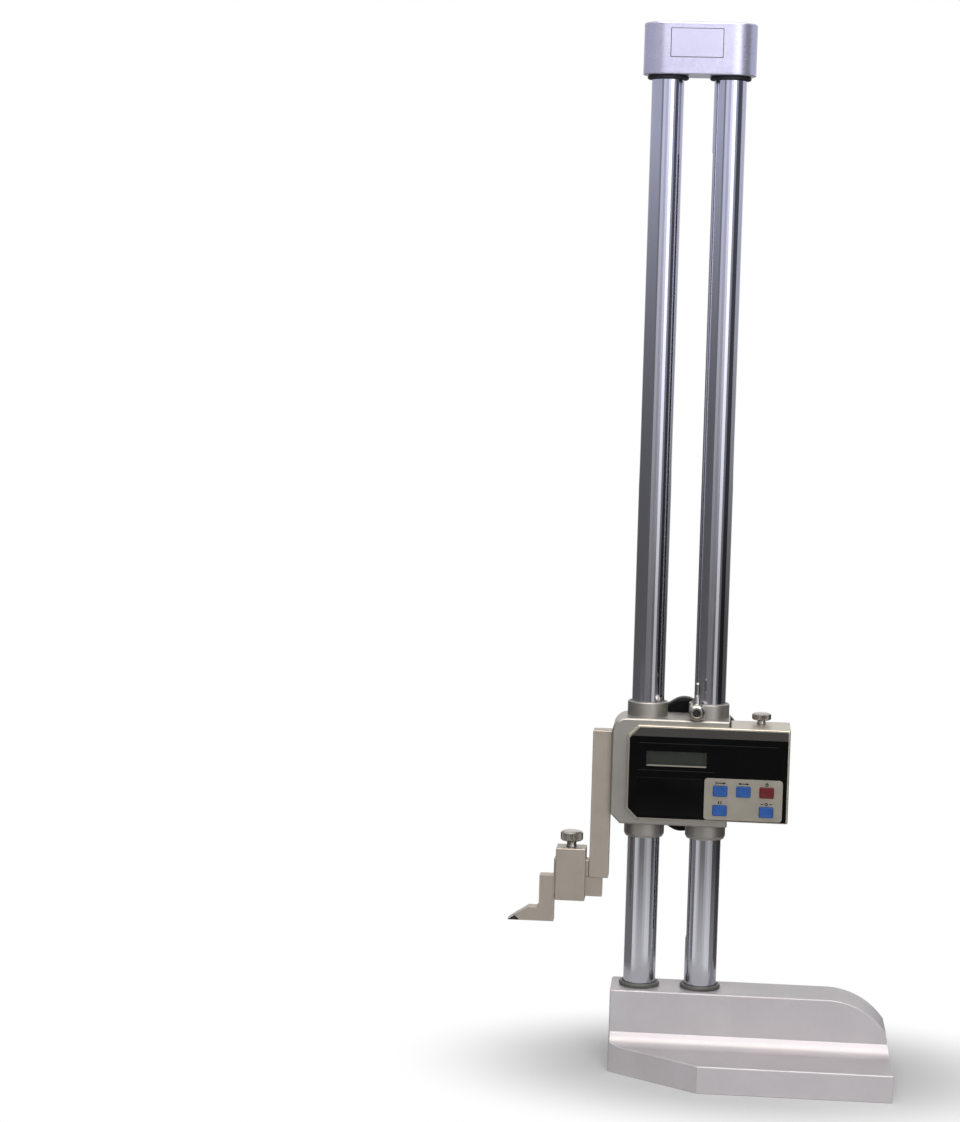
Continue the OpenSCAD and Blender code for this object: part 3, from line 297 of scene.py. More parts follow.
def fibrous(name, look):  # felt, and the traces under a board's lacquer
    material, tree = newFinish(name)
    lines = effect(tree, brushLines, Stretch=look["lines"])
    tint = blendColour(tree, lines, look["dark"], look["light"])
    rough = spread(tree, lines, *look["rough"])
    return dress(material, tint, rough, lines, look["skin"], {"Sheen Weight": look["sheen"]})


baseLook = dict(
    light=(194, 189, 192), dark=(182, 177, 180), bright=(226, 222, 222), cloud=26.0, fleck=2600.0,
    fleckShare=0.22, edge=1.2, wear=1.6, dust=0.06, rough=(0.32, 0.44), metal=0.25, skin=0.02)
capLook = dict(
    light=(202, 200, 221), dark=(188, 187, 210), bright=(232, 230, 240), cloud=40.0, fleck=3000.0,
    fleckShare=0.2, edge=1.0, wear=1.5, dust=0.2, rough=(0.22, 0.34), metal=0.75, skin=0.012)
frameLook = dict(
    light=(153, 150, 143), dark=(139, 136, 129), bright=(214, 210, 203), cloud=45.0, fleck=3200.0,
    fleckShare=0.2, edge=1.0, wear=2.0, dust=0.15, rough=(0.3, 0.44), metal=0.85, skin=0.015)
housingLook = dict(
    light=(186, 178, 162), dark=(170, 162, 146), bright=(226, 220, 206), cloud=45.0, fleck=3200.0,
    fleckShare=0.2, edge=0.8, wear=2.0, dust=0.2, rough=(0.28, 0.42), metal=0.7, skin=0.012)
sleeveLook = dict(
    light=(92, 108, 164), dark=(70, 84, 138), bright=(150, 160, 196), cloud=120.0, fleck=2600.0,
    fleckShare=0.15, edge=0.6, wear=1.2, dust=0.1, rough=(0.28, 0.4), metal=0.2, skin=0.008)
columnLook = dict(
    light=(216, 216, 224), dark=(202, 202, 210), film=(188, 188, 192), lines=(2500.0, 2500.0, 25.0),
    smear=30.0, rough=(0.06, 0.12), smearRough=0.06, skin=0.0012)
platedLook = dict(
    light=(188, 183, 176), dark=(154, 149, 142), film=(140, 132, 123), lines=(1500.0, 1500.0, 3500.0),
    smear=160.0, rough=(0.14, 0.26), smearRough=0.12, skin=0.004)
bronzeLook = dict(
    light=(196, 152, 88), dark=(160, 118, 62), film=(126, 92, 54), lines=(1500.0, 3500.0, 1500.0),
    smear=160.0, rough=(0.24, 0.4), smearRough=0.15, skin=0.006)
barLook = dict(
    light=(180, 171, 160), dark=(159, 150, 139), bright=(230, 224, 214), stain=(142, 132, 120),
    lines=(3400.0, 3400.0, 45.0), smear=60.0, edge=0.8, wear=2.4, rough=(0.3, 0.48), metal=0.8, skin=0.006)
blackenedLook = dict(
    light=(78, 77, 77), dark=(48, 48, 49), bright=(128, 126, 124), stain=(64, 58, 52),
    lines=(2600.0, 2600.0, 2600.0), smear=120.0, edge=0.4, wear=3.0, rough=(0.32, 0.52), metal=0.75,
    skin=0.008)
carbideLook = dict(
    light=(72, 70, 68), dark=(50, 48, 47), bright=(150, 148, 146), stain=(58, 55, 52),
    lines=(90.0, 3800.0, 3800.0), smear=200.0, edge=0.3, wear=3.0, rough=(0.2, 0.34), metal=0.8, skin=0.004)
bezelLook = dict(
    light=(6, 6, 7), dark=(3, 3, 4), rubbed=(40, 38, 36), grain=2800.0, cloud=60.0, smear=55.0, edge=0.6,
    wear=1.2, dust=0.04, rough=(0.14, 0.2), gloss=0.14, skin=0.008)
wheelLook = dict(
    light=(5, 5, 5), dark=(2, 2, 2), rubbed=(40, 38, 36), grain=2200.0, cloud=50.0, smear=50.0, edge=1.2,
    wear=1.2, dust=0.04, rough=(0.32, 0.46), gloss=0.12, skin=0.03)
greyRubberLook = dict(
    light=(96, 96, 90), dark=(74, 74, 70), rubbed=(132, 130, 122), grain=2400.0, cloud=120.0, smear=90.0,
    edge=0.5, wear=1.5, dust=0.2, rough=(0.42, 0.6), gloss=0.4, skin=0.02)
blackRubberLook = dict(
    greyRubberLook, light=(34, 34, 40), dark=(22, 22, 26), rubbed=(66, 66, 68), dust=0.1,
    rough=(0.45, 0.62), gloss=0.35)
keyFieldLook = dict(
    light=(150, 144, 132), dark=(138, 132, 121), rubbed=(196, 190, 178), grain=3600.0, cloud=70.0,
    smear=70.0, edge=0.5, wear=1.2, dust=0.05, rough=(0.42, 0.58), gloss=0.3, skin=0.01)
blueKeyLook = dict(
    light=(28, 86, 162), dark=(18, 68, 138), rubbed=(122, 166, 216), grain=3000.0, cloud=260.0, smear=160.0,
    edge=0.5, wear=1.6, dust=0.03, rough=(0.34, 0.5), gloss=0.25, skin=0.012)
redKeyLook = dict(blueKeyLook, light=(108, 7, 14), dark=(86, 4, 9), rubbed=(190, 78, 84))
windowLook = dict(
    light=(96, 100, 94), dark=(70, 76, 70), smear=70.0, cover=0.55, veil=(0.08, 0.16), rough=(0.04, 0.2))
panelLook = dict(
    light=(54, 59, 47), dark=(40, 46, 37), cell=(50, 54, 45), cells=420.0, contrast=1.6, cellShare=0.3,
    rough=(0.3, 0.42))
feltLook = dict(
    light=(120, 112, 100), dark=(60, 56, 50), lines=(2600.0, 2600.0, 1500.0), rough=(0.85, 1.0), skin=0.25,
    sheen=0.4)
boardLook = dict(
    light=(44, 118, 72), dark=(18, 70, 40), lines=(700.0, 700.0, 90.0), rough=(0.3, 0.5), skin=0.04,
    sheen=0.0)

finishes = {
    "base_paint": paintedMetal("basePaint", baseLook),
    "column_chrome": platedMetal("columnChrome", columnLook),
    "cap_metal": paintedMetal("capMetal", capLook),
    "satin_steel": paintedMetal("satinSteel", frameLook),
    "ground_steel": groundSteel("groundSteel", barLook),
    "dark_steel": groundSteel("blackenedSteel", blackenedLook),
    "bright_steel": platedMetal("brightSteel", platedLook),
    "carbide": groundSteel("carbideEdge", carbideLook),
    "grey_rubber": mouldedPlastic("greyRubber", greyRubberLook),
    "black_rubber": mouldedPlastic("blackRubber", blackRubberLook),
    "felt": fibrous("oiledFelt", feltLook),
    "bronze": platedMetal("turnedBronze", bronzeLook),
    "housing_metal": paintedMetal("housingMetal", housingLook),
    "bezel_black": mouldedPlastic("bezelBlack", bezelLook),
    "clear_window": clearWindow("clearWindow", windowLook),
    "lcd_glass": displayPanel("displayPanel", panelLook),
    "key_field": mouldedPlastic("keyField", keyFieldLook),
    "board_green": fibrous("circuitMask", boardLook),
    "battery_sleeve": paintedMetal("batterySleeve", sleeveLook),
    "wheel_black": mouldedPlastic("wheelBlack", wheelLook),
    "blue_key": mouldedPlastic("blueKey", blueKeyLook),
    "red_key": mouldedPlastic("redKey", redKeyLook),
}
print("finishes made:", len(finishes))


# Mesh helpers, in mm and degrees

joining = dict(
    weld=0.001, sliver=0.0005, copyWeld=0.002, flatAngle=0.4, trimAngle=0.1, leastCorner=0.1, leastPad=0.05,
    blockSteps=14, padSteps=4)


def quarterTurn(steps):
    return [pi / 2 * k / steps for k in range(steps + 1)]


def softOutline(corners, steps=5):  # corners are (x, y, radius), a radius of 0 stays sharp
    outline = []
    for i, (x, y, radius) in enumerate(corners):
        here = Vector((x, y))
        if not radius:
            outline.append(here)
            continue
        back = (Vector(corners[i - 1][:2]) - here).normalized()
        ahead = (Vector(corners[(i + 1) % len(corners)][:2]) - here).normalized()
        half = back.angle(ahead) / 2
        middle = here + (back + ahead).normalized() * radius / sin(half)
        first = here + back * radius / tan(half) - middle
        last = here + ahead * radius / tan(half) - middle
        turn = first.angle_signed(last)
        for k in range(steps + 1):
            angle = atan2(first.y, first.x) - turn * k / steps
            outline.append(middle + Vector((cos(angle), sin(angle))) * radius)
    return outline


def softRectangle(width, height, radius, steps=5):
    w, h = width / 2, height / 2
    return softOutline([(-w, -h, radius), (w, -h, radius), (w, h, radius), (-w, h, radius)], steps)


def circleOutline(radius, count=32):
    return [Vector((cos(2 * pi * k / count), sin(2 * pi * k / count))) * radius for k in range(count)]


def insetCorners(corners, inset):  # moves every side of a convex outline inwards
    moved = []
    for i, (x, y, radius) in enumerate(corners):
        here = Vector((x, y))
        back = (here - Vector(corners[i - 1][:2])).normalized()
        ahead = (Vector(corners[(i + 1) % len(corners)][:2]) - here).normalized()
        first, last = Vector((-back.y, back.x)), Vector((-ahead.y, ahead.x))
        spot = here + (first + last) * inset / (1 + first.dot(last))
        moved.append((spot.x, spot.y, max(radius - inset, joining["leastCorner"])))
    return moved


def roundLevels(low, high, lowEdge, highEdge, steps=6):  # rising heights and the inset that rounds each end
    turns = quarterTurn(steps)
    foot = [(low, 0.0)]
    if lowEdge:
        foot = [(low + lowEdge * (1 - cos(turn)), lowEdge * (1 - sin(turn))) for turn in turns]
    return foot + [(high - highEdge * (1 - sin(turn)), highEdge * (1 - cos(turn))) for turn in turns]


def placeAt(x, y, z, along="Z"):  # along gives where the local Z axis points
    turns = {"Y": Matrix.Rotation(-pi / 2, 4, "X"), "-Y": Matrix.Rotation(pi / 2, 4, "X"), "Z": Matrix()}
    return Matrix.Translation((x, y, z)) @ turns[along]


def loftRings(form, rings, closed=False):  # rings of equally many points, joined by quads
    rows = [[form.verts.new(point) for point in ring] for ring in rings]
    for row, beyond in zip(rows, rows[1:] + rows[:1] if closed else rows[1:]):
        for k in range(len(row)):
            n = (k + 1) % len(row)
            form.faces.new((row[k], row[n], beyond[n], beyond[k]))
    if not closed:
        form.faces.new(rows[0])
        form.faces.new(rows[-1])


def addTurned(form, section, place, turns=96, flute=None):  # section runs once round as (radius, height)
    rings = []
    for radius, height in section:
        ring = []
        for k in range(turns):
            angle = 2 * pi * k / turns
            reach = radius + (flute(angle, radius) if flute else 0.0)
            ring.append(place @ Vector((reach * cos(angle), reach * sin(angle), height)))
        rings.append(ring)
    loftRings(form, rings, closed=True)


def addStack(form, place, levels):  # outlines at rising heights: (height, outline)
    loftRings(form, [[place @ Vector((p.x, p.y, height)) for p in outline] for height, outline in levels])


def toMesh(form, name):
    mesh = bpy.data.meshes.new(name)
    form.to_mesh(mesh)
    form.free()
    return mesh


def formToMesh(form, name, sharp=35):
    bmesh.ops.remove_doubles(form, verts=form.verts, dist=joining["weld"])
    bmesh.ops.dissolve_degenerate(form, edges=form.edges, dist=joining["sliver"])
    bmesh.ops.recalc_face_normals(form, faces=form.faces)
    form.transform(Matrix.Scale(mm, 4))
    mesh = toMesh(form, name)
    mesh.shade_smooth()
    mesh.set_sharp_from_angle(angle=radians(sharp))
    return mesh


def stackMesh(name, place, levels, sharp=35):
    form = bmesh.new()
    addStack(form, place, levels)
    return formToMesh(form, name, sharp)


def addPiece(name, mesh, body, slotName, replaced=()):
    piece = linkNew(name, mesh)
    mesh.materials.clear()
    mesh.materials.append(finishes[slotName])
    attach(piece, body)
    if replaced:
        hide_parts(*replaced)
    return piece


def standIn(node, mesh, name=None):  # a piece that shows in a node's place
    return addPiece(name or camel(node), mesh, bodyOf[node], slotOf[node], [node])


def turnedPiece(node, section, place, turns, sharp=35, flute=None, name=None):
    form = bmesh.new()
    addTurned(form, section, place, turns, flute)
    return standIn(node, formToMesh(form, name or camel(node), sharp), name)


def evenNormals(piece, keepSharp):
    normals = piece.modifiers.new("evenNormals", "WEIGHTED_NORMAL")
    normals.keep_sharp = keepSharp
    return piece


def softenEdges(piece, width, segments=3, angle=32):
    bevel = piece.modifiers.new("softEdges", "BEVEL")
    bevel.width = width * mm
    bevel.segments = segments
    bevel.limit_method = "ANGLE"
    bevel.angle_limit = radians(angle)
    bevel.use_clamp_overlap = False
    return evenNormals(piece, False)


def closedCopy(node, joinFlats=True, name=None):  # the node's own form with its faces joined up
    form = bmesh.new()
    form.from_mesh(frame["nodes"][node].data)
    bmesh.ops.remove_doubles(form, verts=form.verts, dist=joining["copyWeld"] * mm)
    if joinFlats:
        flat = radians(joining["flatAngle"])
        bmesh.ops.dissolve_limit(form, angle_limit=flat, verts=form.verts, edges=form.edges)
    mesh = toMesh(form, name or camel(node))
    if "custom_normal" in mesh.attributes:
        mesh.attributes.remove(mesh.attributes["custom_normal"])
    mesh.shade_smooth()
    return standIn(node, mesh, name)


def roundedCopy(node, width, segments=3, joinFlats=True, name=None):
    return softenEdges(closedCopy(node, joinFlats, name), width, segments)


def trimmedCopy(node, shells):  # a copy that keeps only what lies inside the rounded shells
    shell = carve(shells[0], shells[1:], "UNION")
    piece = carve(closedCopy(node, False), [shell], "INTERSECT")
    form = bmesh.new()
    form.from_mesh(piece.data)
    flat = radians(joining["trimAngle"])
    bmesh.ops.dissolve_limit(form, angle_limit=flat, verts=form.verts, edges=form.edges, delimit={"SHARP"})
    form.to_mesh(piece.data)
    form.free()
    return evenNormals(piece, True)


def cutter(outline, low, high, place):
    return linkNew("cutter", stackMesh("cutter", place, [(low, outline), (high, outline)]))


def boxCutter(low, high):
    middle = placeAt((low[0] + high[0]) / 2, (low[1] + high[1]) / 2, 0)
    return cutter(softRectangle(high[0] - low[0], high[1] - low[1], 0), low[2], high[2], middle)


def blockTool(corners, front, back, frontEdge, backEdge, skin=0.01):  # outline in X and Z, rounded ends
    levels = [
        (height, softOutline(insetCorners(corners, inset - skin), joining["blockSteps"]))
        for height, inset in roundLevels(-back - skin, -front + skin, backEdge, frontEdge)]
    return linkNew("cutter", stackMesh("cutter", placeAt(0, 0, 0, "-Y"), levels))


def carve(piece, tools, how="DIFFERENCE", sharp=35):  # works the tools' shapes into the piece for good
    for tool in tools:
        cut = piece.modifiers.new("carve", "BOOLEAN")
        cut.operation = how
        cut.solver = "EXACT"
        cut.object = tool
    bpy.context.view_layer.update()
    shown = piece.evaluated_get(bpy.context.evaluated_depsgraph_get())
    carved = bpy.data.meshes.new_from_object(shown)
    piece.modifiers.clear()
    piece.data = carved
    for tool in tools:
        bpy.data.objects.remove(tool)
    carved.shade_smooth()
    carved.set_sharp_from_angle(angle=radians(sharp))
    return piece


# Base casting: cross sections drawn along its length, with their rounded edges

baseShape = dict(
    ridgeWidth=36.0, footHeight=17.0, footLedge=4.0, footSlant=56.0, stripHeight=7.6, stripReach=4.1,
    fillet=10.0, filletSteps=16, ridgeSetback=3.0, tailRadius=45.0, tailLength=36.5, tailSteps=28,
    endLedge=0.5, endSteps=10, edge=1.0, footEdge=0.5, endEdge=0.4, edgeSteps=5, slantSteps=10, sharp=25.0,
    reliefRim=13.0, reliefDepth=3.0, boltRecess=12.0, boltRoom=0.05, boltTurns=48, below=-1.0)
baseLow, baseHigh = spanOf("base")
stripTilt = atan2(baseShape["stripReach"], baseShape["stripHeight"])
filletReach = baseShape["fillet"] / tan((pi / 2 + stripTilt) / 2)


def edgeArc(y, low, high, reach):  # from an upright side at y over to a surface that lies reach further in
    return [(y - reach * (1 - cos(turn)), low + (high - low) * sin(turn))
            for turn in quarterTurn(baseShape["edgeSteps"])]


def baseSection(x, ridgeTop, inset=0.0):  # inset draws the whole outline in, for the rounded ends
    s = named(baseShape)
    ridge, foot, top = s.ridgeWidth / 2 - inset, s.footHeight - inset, ridgeTop - inset
    fillet, edge = s.fillet, s.edge - inset
    narrow = s.ridgeWidth / 2 + s.footLedge
    share = min(1.0, (x - baseLow.x) / s.footSlant)
    half = narrow + (baseHigh.y - narrow) * share - inset
    filletFoot = ridge + s.stripReach + filletReach

    def angleAt(y):
        return asin(max(0.0, filletFoot - y) / fillet)

    def heightAt(angle):
        return foot + fillet * (1 - cos(angle))

    start = angleAt(half - edge)
    stop = min(pi / 2 - stripTilt, acos(1 - min(1.0, (top - foot) / fillet)))
    side = [(half - s.footEdge, inset), (half, inset + s.footEdge)]
    side += edgeArc(half, heightAt(angleAt(half)) - edge, heightAt(start), edge)
    for k in range(s.filletSteps + 1):
        angle = start + (stop - start) * k / s.filletSteps
        side.append((filletFoot - fillet * sin(angle), heightAt(angle)))
    stripTop = min(top, foot + s.stripHeight)
    if stripTop > side[-1][1]:
        side.append((ridge + s.stripReach * (1 - (stripTop - foot) / s.stripHeight), stripTop))
    else:
        side.append(side[-1])
    topEdge = max(0.0, min(edge, top - stripTop))
    side += edgeArc(side[-1][0], top - topEdge, top, topEdge)
    return [(x, y, z) for y, z in side] + [(x, -y, z) for y, z in reversed(side)]


def makeBase():
    s = named(baseShape)
    top, edge, rim = baseHigh.z, s.edge, s.reliefRim
    ridgeRight = baseHigh.x - s.ridgeSetback
    tailLeft = ridgeRight - s.tailLength
    ends = roundLevels(baseLow.x, baseHigh.x, edge, s.endEdge, s.edgeSteps)
    count = s.edgeSteps + 1
    sections = [baseSection(x, top, inset) for x, inset in ends[:count]]
    free = filletReach + s.stripReach + edge - s.footLedge  # where the slanted side leaves the fillet
    clear = s.footSlant * free / (baseHigh.y - s.ridgeWidth / 2 - s.footLedge)
    for k in range(1, s.slantSteps + 1):
        sections.append(baseSection(baseLow.x + edge + (clear - edge) * k / s.slantSteps, top))
    sections += [baseSection(x, top) for x in (baseLow.x + s.footSlant, tailLeft)]
    sweep = asin(s.tailLength / s.tailRadius)
    for k in range(1, s.tailSteps + 1):  # the rounded tail
        angle = sweep * k / s.tailSteps
        tailEnd = top - s.tailRadius * (1 - cos(angle))
        sections.append(baseSection(tailLeft + s.tailRadius * sin(angle), tailEnd))
    for k in range(1, s.endSteps + 1):  # the ridge's sloped end, down to the foot
        share = k / s.endSteps
        x = ridgeRight + (s.ridgeSetback - s.endLedge) * share
        sections.append(baseSection(x, tailEnd + (s.footHeight - tailEnd) * share))
    sections += [baseSection(x, s.footHeight, inset) for x, inset in ends[count:]]
    form = bmesh.new()
    loftRings(form, sections)
    base = standIn("base", formToMesh(form, "baseCasting"), "baseCasting")
    boltLow, boltHigh = spanOf("column_bolts")
    boltRadius = (boltHigh.y - boltLow.y) / 2 + s.boltRoom
    tools = [boxCutter(
        (baseLow.x + s.footSlant + rim, -baseHigh.y + rim, s.below),
        (baseHigh.x - rim, baseHigh.y - rim, s.reliefDepth))]
    for x in (boltLow.x + boltRadius, boltHigh.x - boltRadius):
        outline = circleOutline(boltRadius, s.boltTurns)
        tools.append(cutter(outline, s.below, s.boltRecess, placeAt(x, 0, 0)))
    evenNormals(carve(base, tools, sharp=s.sharp), True)


makeBase()
print("base made")


# Guide columns, buffers and top cap

columnShape = dict(endChamfer=1.0, rackRoom=0.02, pinionRoom=0.4, turns=128, bufferTurns=20)
capShape = dict(
    topRound=1.2, footRound=0.7, arcSteps=40, screwRecess=6.75, screwRoom=0.05, screwTurns=48, above=1.0,
    edge=0.3, edgeSegments=2, edgeAngle=50)
labelShape = dict(
    width=32.0, height=17.6, corner=0.6, thick=0.25, rimThick=0.15, sunk=0.1, left=-1.8, drop=12.7,
    frameWidth=0.45)
columnLow, columnHigh = spanOf("right_column")
columnX, columnRadius = (columnLow.x + columnHigh.x) / 2, (columnHigh.x - columnLow.x) / 2


def makeColumn(node):
    low, high = spanOf(node)
    radius, chamfer = (high.x - low.x) / 2, columnShape["endChamfer"]
    section = [(0, low.z), (radius - chamfer, low.z), (radius, low.z + chamfer),
               (radius, high.z - chamfer), (radius - chamfer, high.z), (0, high.z)]
    return turnedPiece(node, section, placeAt(middleOf(node)[0], 0, 0), columnShape["turns"])


def makeColumns():
    makeColumn("left_column")
    right = makeColumn("right_column")
    rackLow, rackHigh = spanOf("feed_rack")
    tools = []
    for node, room in (("feed_rack", columnShape["rackRoom"]), ("feed_pinion", columnShape["pinionRoom"])):
        low, high = spanOf(node)
        tools.append(boxCutter((0, low.y - room, rackLow.z), (high.x + room, high.y + room, rackHigh.z)))
    carve(right, tools)


def makeBuffers(node):
    low, high = spanOf(node)
    thick = high.z - low.z
    ringRadius, middle = high.x - columnX - thick / 2, (low.z + high.z) / 2
    outline = circleOutline(thick / 2, columnShape["bufferTurns"])
    form = bmesh.new()
    for side in (-1, 1):
        addTurned(form, [(ringRadius + p.x, middle + p.y) for p in outline], placeAt(side * columnX, 0, 0))
    standIn(node, formToMesh(form, camel(node)))


def makeCap():
    s = named(capShape)
    low, high = spanOf("top_cap")
    radius = high.y
    endX = high.x - radius

    def stadium(r):
        arc = [pi * k / s.arcSteps - pi / 2 for k in range(s.arcSteps + 1)]
        right = [Vector((endX + r * cos(a), r * sin(a))) for a in arc]
        return right + [-p for p in right]

    levels = [(height, stadium(radius - inset)) for height, inset in
              roundLevels(low.z, high.z, s.footRound, s.topRound)]
    cap = standIn("top_cap", stackMesh("topCap", Matrix(), levels))
    outline = circleOutline(spanOf("cap_screws")[1].y + s.screwRoom, s.screwTurns)
    tools = [cutter(outline, high.z - s.screwRecess, high.z + s.above, placeAt(x, 0, 0))
             for x in (-endX, endX)]
    softenEdges(carve(cap, tools), s.edge, s.edgeSegments, s.edgeAngle)


def makeCapLabel():  # a bare plate on the cap's front, with a thin dark rim
    s = named(labelShape)
    low, high = spanOf("top_cap")
    place = placeAt(s.left, low.y, high.z - s.drop, "-Y")
    inner = (s.width - 2 * s.frameWidth, s.height - 2 * s.frameWidth)
    for name, slotName, size, back, front in (
            ("capLabelRim", "dark_steel", (s.width, s.height), -s.sunk, s.rimThick),
            ("capLabel", "cap_metal", inner, 0.0, s.thick)):
        outline = softRectangle(*size, s.corner)
        addPiece(name, stackMesh(name, place, [(back, outline), (front, outline)]), "stand", slotName)


makeColumns()
makeBuffers("lower_buffers")
makeBuffers("upper_buffers")
makeCap()
makeCapLabel()
roundedCopy("cap_screws", 0.25, 2)
print("columns, buffers and cap made")


# Slider frame with its collars and felt rings

frameShape = dict(
    height=66.0, corner=9.0, chamfer=6.3, side=0.8, edge=1.4, backEdge=1.0, bossHalf=11.0, bossFront=-16.0,
    bossSunk=0.05)
collarShape = dict(
    outer=0.7, inner=0.25, seat=0.15, wiperRoom=0.02, wiperThick=2.0, wiperRound=0.3, wiperSteps=4,
    wiperTurns=80, runRoom=0.05, lowerChamfer=1.8, lowerRound=0.4, turns=112, sharp=50)


def makeFrame():
    s = named(frameShape)
    low, high = spanOf("slider_frame")
    top = low.z + s.height
    corners = [
        (low.x + s.chamfer, low.z, s.side), (high.x, low.z, s.side), (high.x, top, s.side),
        (low.x, top, s.corner), (low.x, low.z + s.chamfer, s.side)]
    leverX = middleOf("clamp_lever")[0]
    boss = boxCutter(
        (leverX - s.bossHalf, s.bossFront, top - s.bossSunk),
        (leverX + s.bossHalf, high.y - s.backEdge, high.z + s.bossSunk))
    trimmedCopy("slider_frame", [
        blockTool(corners, low.y, high.y, s.edge, s.backEdge), boss])


def makeCollar(level, side):
    s = named(collarShape)
    node = level + "_" + side + "_bush"
    low, high = spanOf(node)
    bore, outer, thick = columnRadius + s.runRoom, (high.x - low.x) / 2, s.wiperThick
    seat = spanOf("wiper_rings")[1].x - columnX + s.wiperRoom
    if level == "upper":
        corners = [
            (bore, low.z, s.inner), (outer, low.z, s.inner), (outer, high.z, s.outer),
            (seat, high.z, s.seat), (seat, high.z - thick, 0), (bore, high.z - thick, 0)]
    else:
        chamfer, soft = s.lowerChamfer, s.lowerRound
        corners = [
            (bore, low.z + thick, 0), (seat, low.z + thick, 0), (seat, low.z, s.seat),
            (outer - chamfer / 2, low.z, soft), (outer, low.z + chamfer, soft), (outer, high.z, s.inner),
            (bore, high.z, s.inner)]
    middle = placeAt(middleOf(node)[0], 0, 0)
    turnedPiece(
        node, softOutline(corners), middle, s.turns, s.sharp, name=camel(level + "_" + side + "_collar"))


def makeWipers():
    s = named(collarShape)
    low, high = spanOf("wiper_rings")
    bore, outer, thick, soft = columnRadius + s.runRoom, high.x - columnX, s.wiperThick, s.wiperRound
    corners = [(bore, 0, soft), (outer, 0, soft), (outer, thick, soft), (bore, thick, soft)]
    section = softOutline(corners, s.wiperSteps)
    form = bmesh.new()
    for x in (-columnX, columnX):
        for z in (low.z, high.z - thick):
            addTurned(form, section, placeAt(x, 0, z), s.wiperTurns)
    standIn("wiper_rings", formToMesh(form, "wiperRings"))


makeFrame()
for level in ("upper", "lower"):
    for side in ("left", "right"):
        makeCollar(level, side)
makeWipers()
roundedCopy("bearing_plate", 0.25)
roundedCopy("bearing_plate_screws", 0.15, 2)
print("slider frame made")


# Display unit: housing, bezel, readout, key field and keys

displayShape = dict(
    housingEdge=0.8, bezelEdge=0.45, bezelBack=0.1, corner=0.9, chamfer=6.0, lidEdge=0.35,
    beadHeight=0.75, beadProud=0.3, beadSunk=0.2, beadRound=0.45, beadEdge=0.25, beadInset=6.0,
    upperBeadDrop=9.0, ledgeDrop=2.6, ledgeOver=5.0, sillHeight=0.9, sillProud=0.55, sillShort=0.4,
    sillCorner=0.2, sillGap=0.02, sillEdge=0.3, fieldLeft=4.2, fieldRight=1.4, fieldLow=1.8, fieldHigh=7.0,
    fieldThick=0.12, fieldCorner=0.8, fieldSunk=0.1, fieldEdge=0.1)
keyShape = dict(
    flange=0.7, flangeThick=0.6, corner=0.8, edge=0.45, steps=5, sharp=40, dish=0.18, dishCorner=0.5,
    dishShares=(0.72, 0.4))
markShape = dict(
    rise=1.7, sunk=0.02, thick=0.04, stroke=0.42, arrow=0.6, side=2.1, size=1.25, ring=0.8, ringTurns=28,
    arrowBar=3.6, doubleBar=3.2, endBar=1.3, switchBar=0.8, switchRise=0.6, postGap=0.55, postWide=0.5,
    postHigh=1.4)
keyNodes = ("preset_key", "units_key", "power_key", "hold_key", "zero_key")


def makeHousing():
    s = named(displayShape)
    low, high = spanOf("display_housing")
    top, soft = spanOf("battery_lid")[1].z, s.corner
    corners = [
        (low.x + s.chamfer, low.z, soft), (high.x, low.z, soft), (high.x, top, soft),
        (low.x + s.chamfer, top, soft), (low.x, top - s.chamfer, soft),
        (low.x, low.z + s.chamfer, soft)]
    trimmedCopy("display_housing", [
        blockTool(corners, low.y, high.y, s.housingEdge, s.housingEdge)])
    bezelLow, bezelHigh = spanOf("front_bezel")
    inner = insetCorners(corners, bezelLow.x - low.x)
    trimmedCopy("front_bezel", [
        blockTool(inner, bezelLow.y, bezelHigh.y, s.bezelEdge, s.bezelBack)])


def addPads(name, slotName, *pads):  # soft plates on the slider that face forward
    form = bmesh.new()
    for x, z, width, height, corner, back, front, edge in pads:
        levels = []
        for rise, inset in roundLevels(-back, -front, 0, edge, joining["padSteps"]):
            soft = max(corner - inset, joining["leastPad"])
            levels.append((rise, softRectangle(width - 2 * inset, height - 2 * inset, soft)))
        addStack(form, placeAt(x, 0, z, "-Y"), levels)
    addPiece(name, formToMesh(form, name), "slider", slotName)


def makeBezelTrim():
    s = named(displayShape)
    low, high = spanOf("front_bezel")
    windowLow, windowHigh = spanOf("readout_window")
    windowX, windowWidth = middleOf("readout_window")[0], windowHigh.x - windowLow.x
    tall = s.beadHeight
    bead = (tall, tall * s.beadRound, low.y + s.beadSunk, low.y - s.beadProud, s.beadEdge)
    addPads(
        "bezelBeads", "bezel_black",
        ((low.x + high.x) / 2, high.z - s.upperBeadDrop, high.x - low.x - 2 * s.beadInset, *bead),
        (windowX, windowLow.z - s.ledgeDrop, windowWidth + 2 * s.ledgeOver, *bead))
    left, right = low.x + s.fieldLeft, spanOf("keypad_plate")[0].x - s.fieldRight
    bottom, top = low.z + s.fieldLow, windowLow.z - s.fieldHigh
    addPads("bezelField", "bezel_black", (  # plain field in the bezel's lower left
        (left + right) / 2, (bottom + top) / 2, right - left, top - bottom, s.fieldCorner,
        low.y + s.fieldSunk, low.y - s.fieldThick, s.fieldEdge))
    addPads("windowSill", "key_field", (  # painted highlight: a light strip standing for the lit lower edge of the clear readout window
        windowX, windowLow.z + s.sillHeight / 2, windowWidth - s.sillShort, s.sillHeight,
        s.sillCorner, windowLow.y - s.sillGap, windowLow.y - s.sillProud, s.sillEdge))


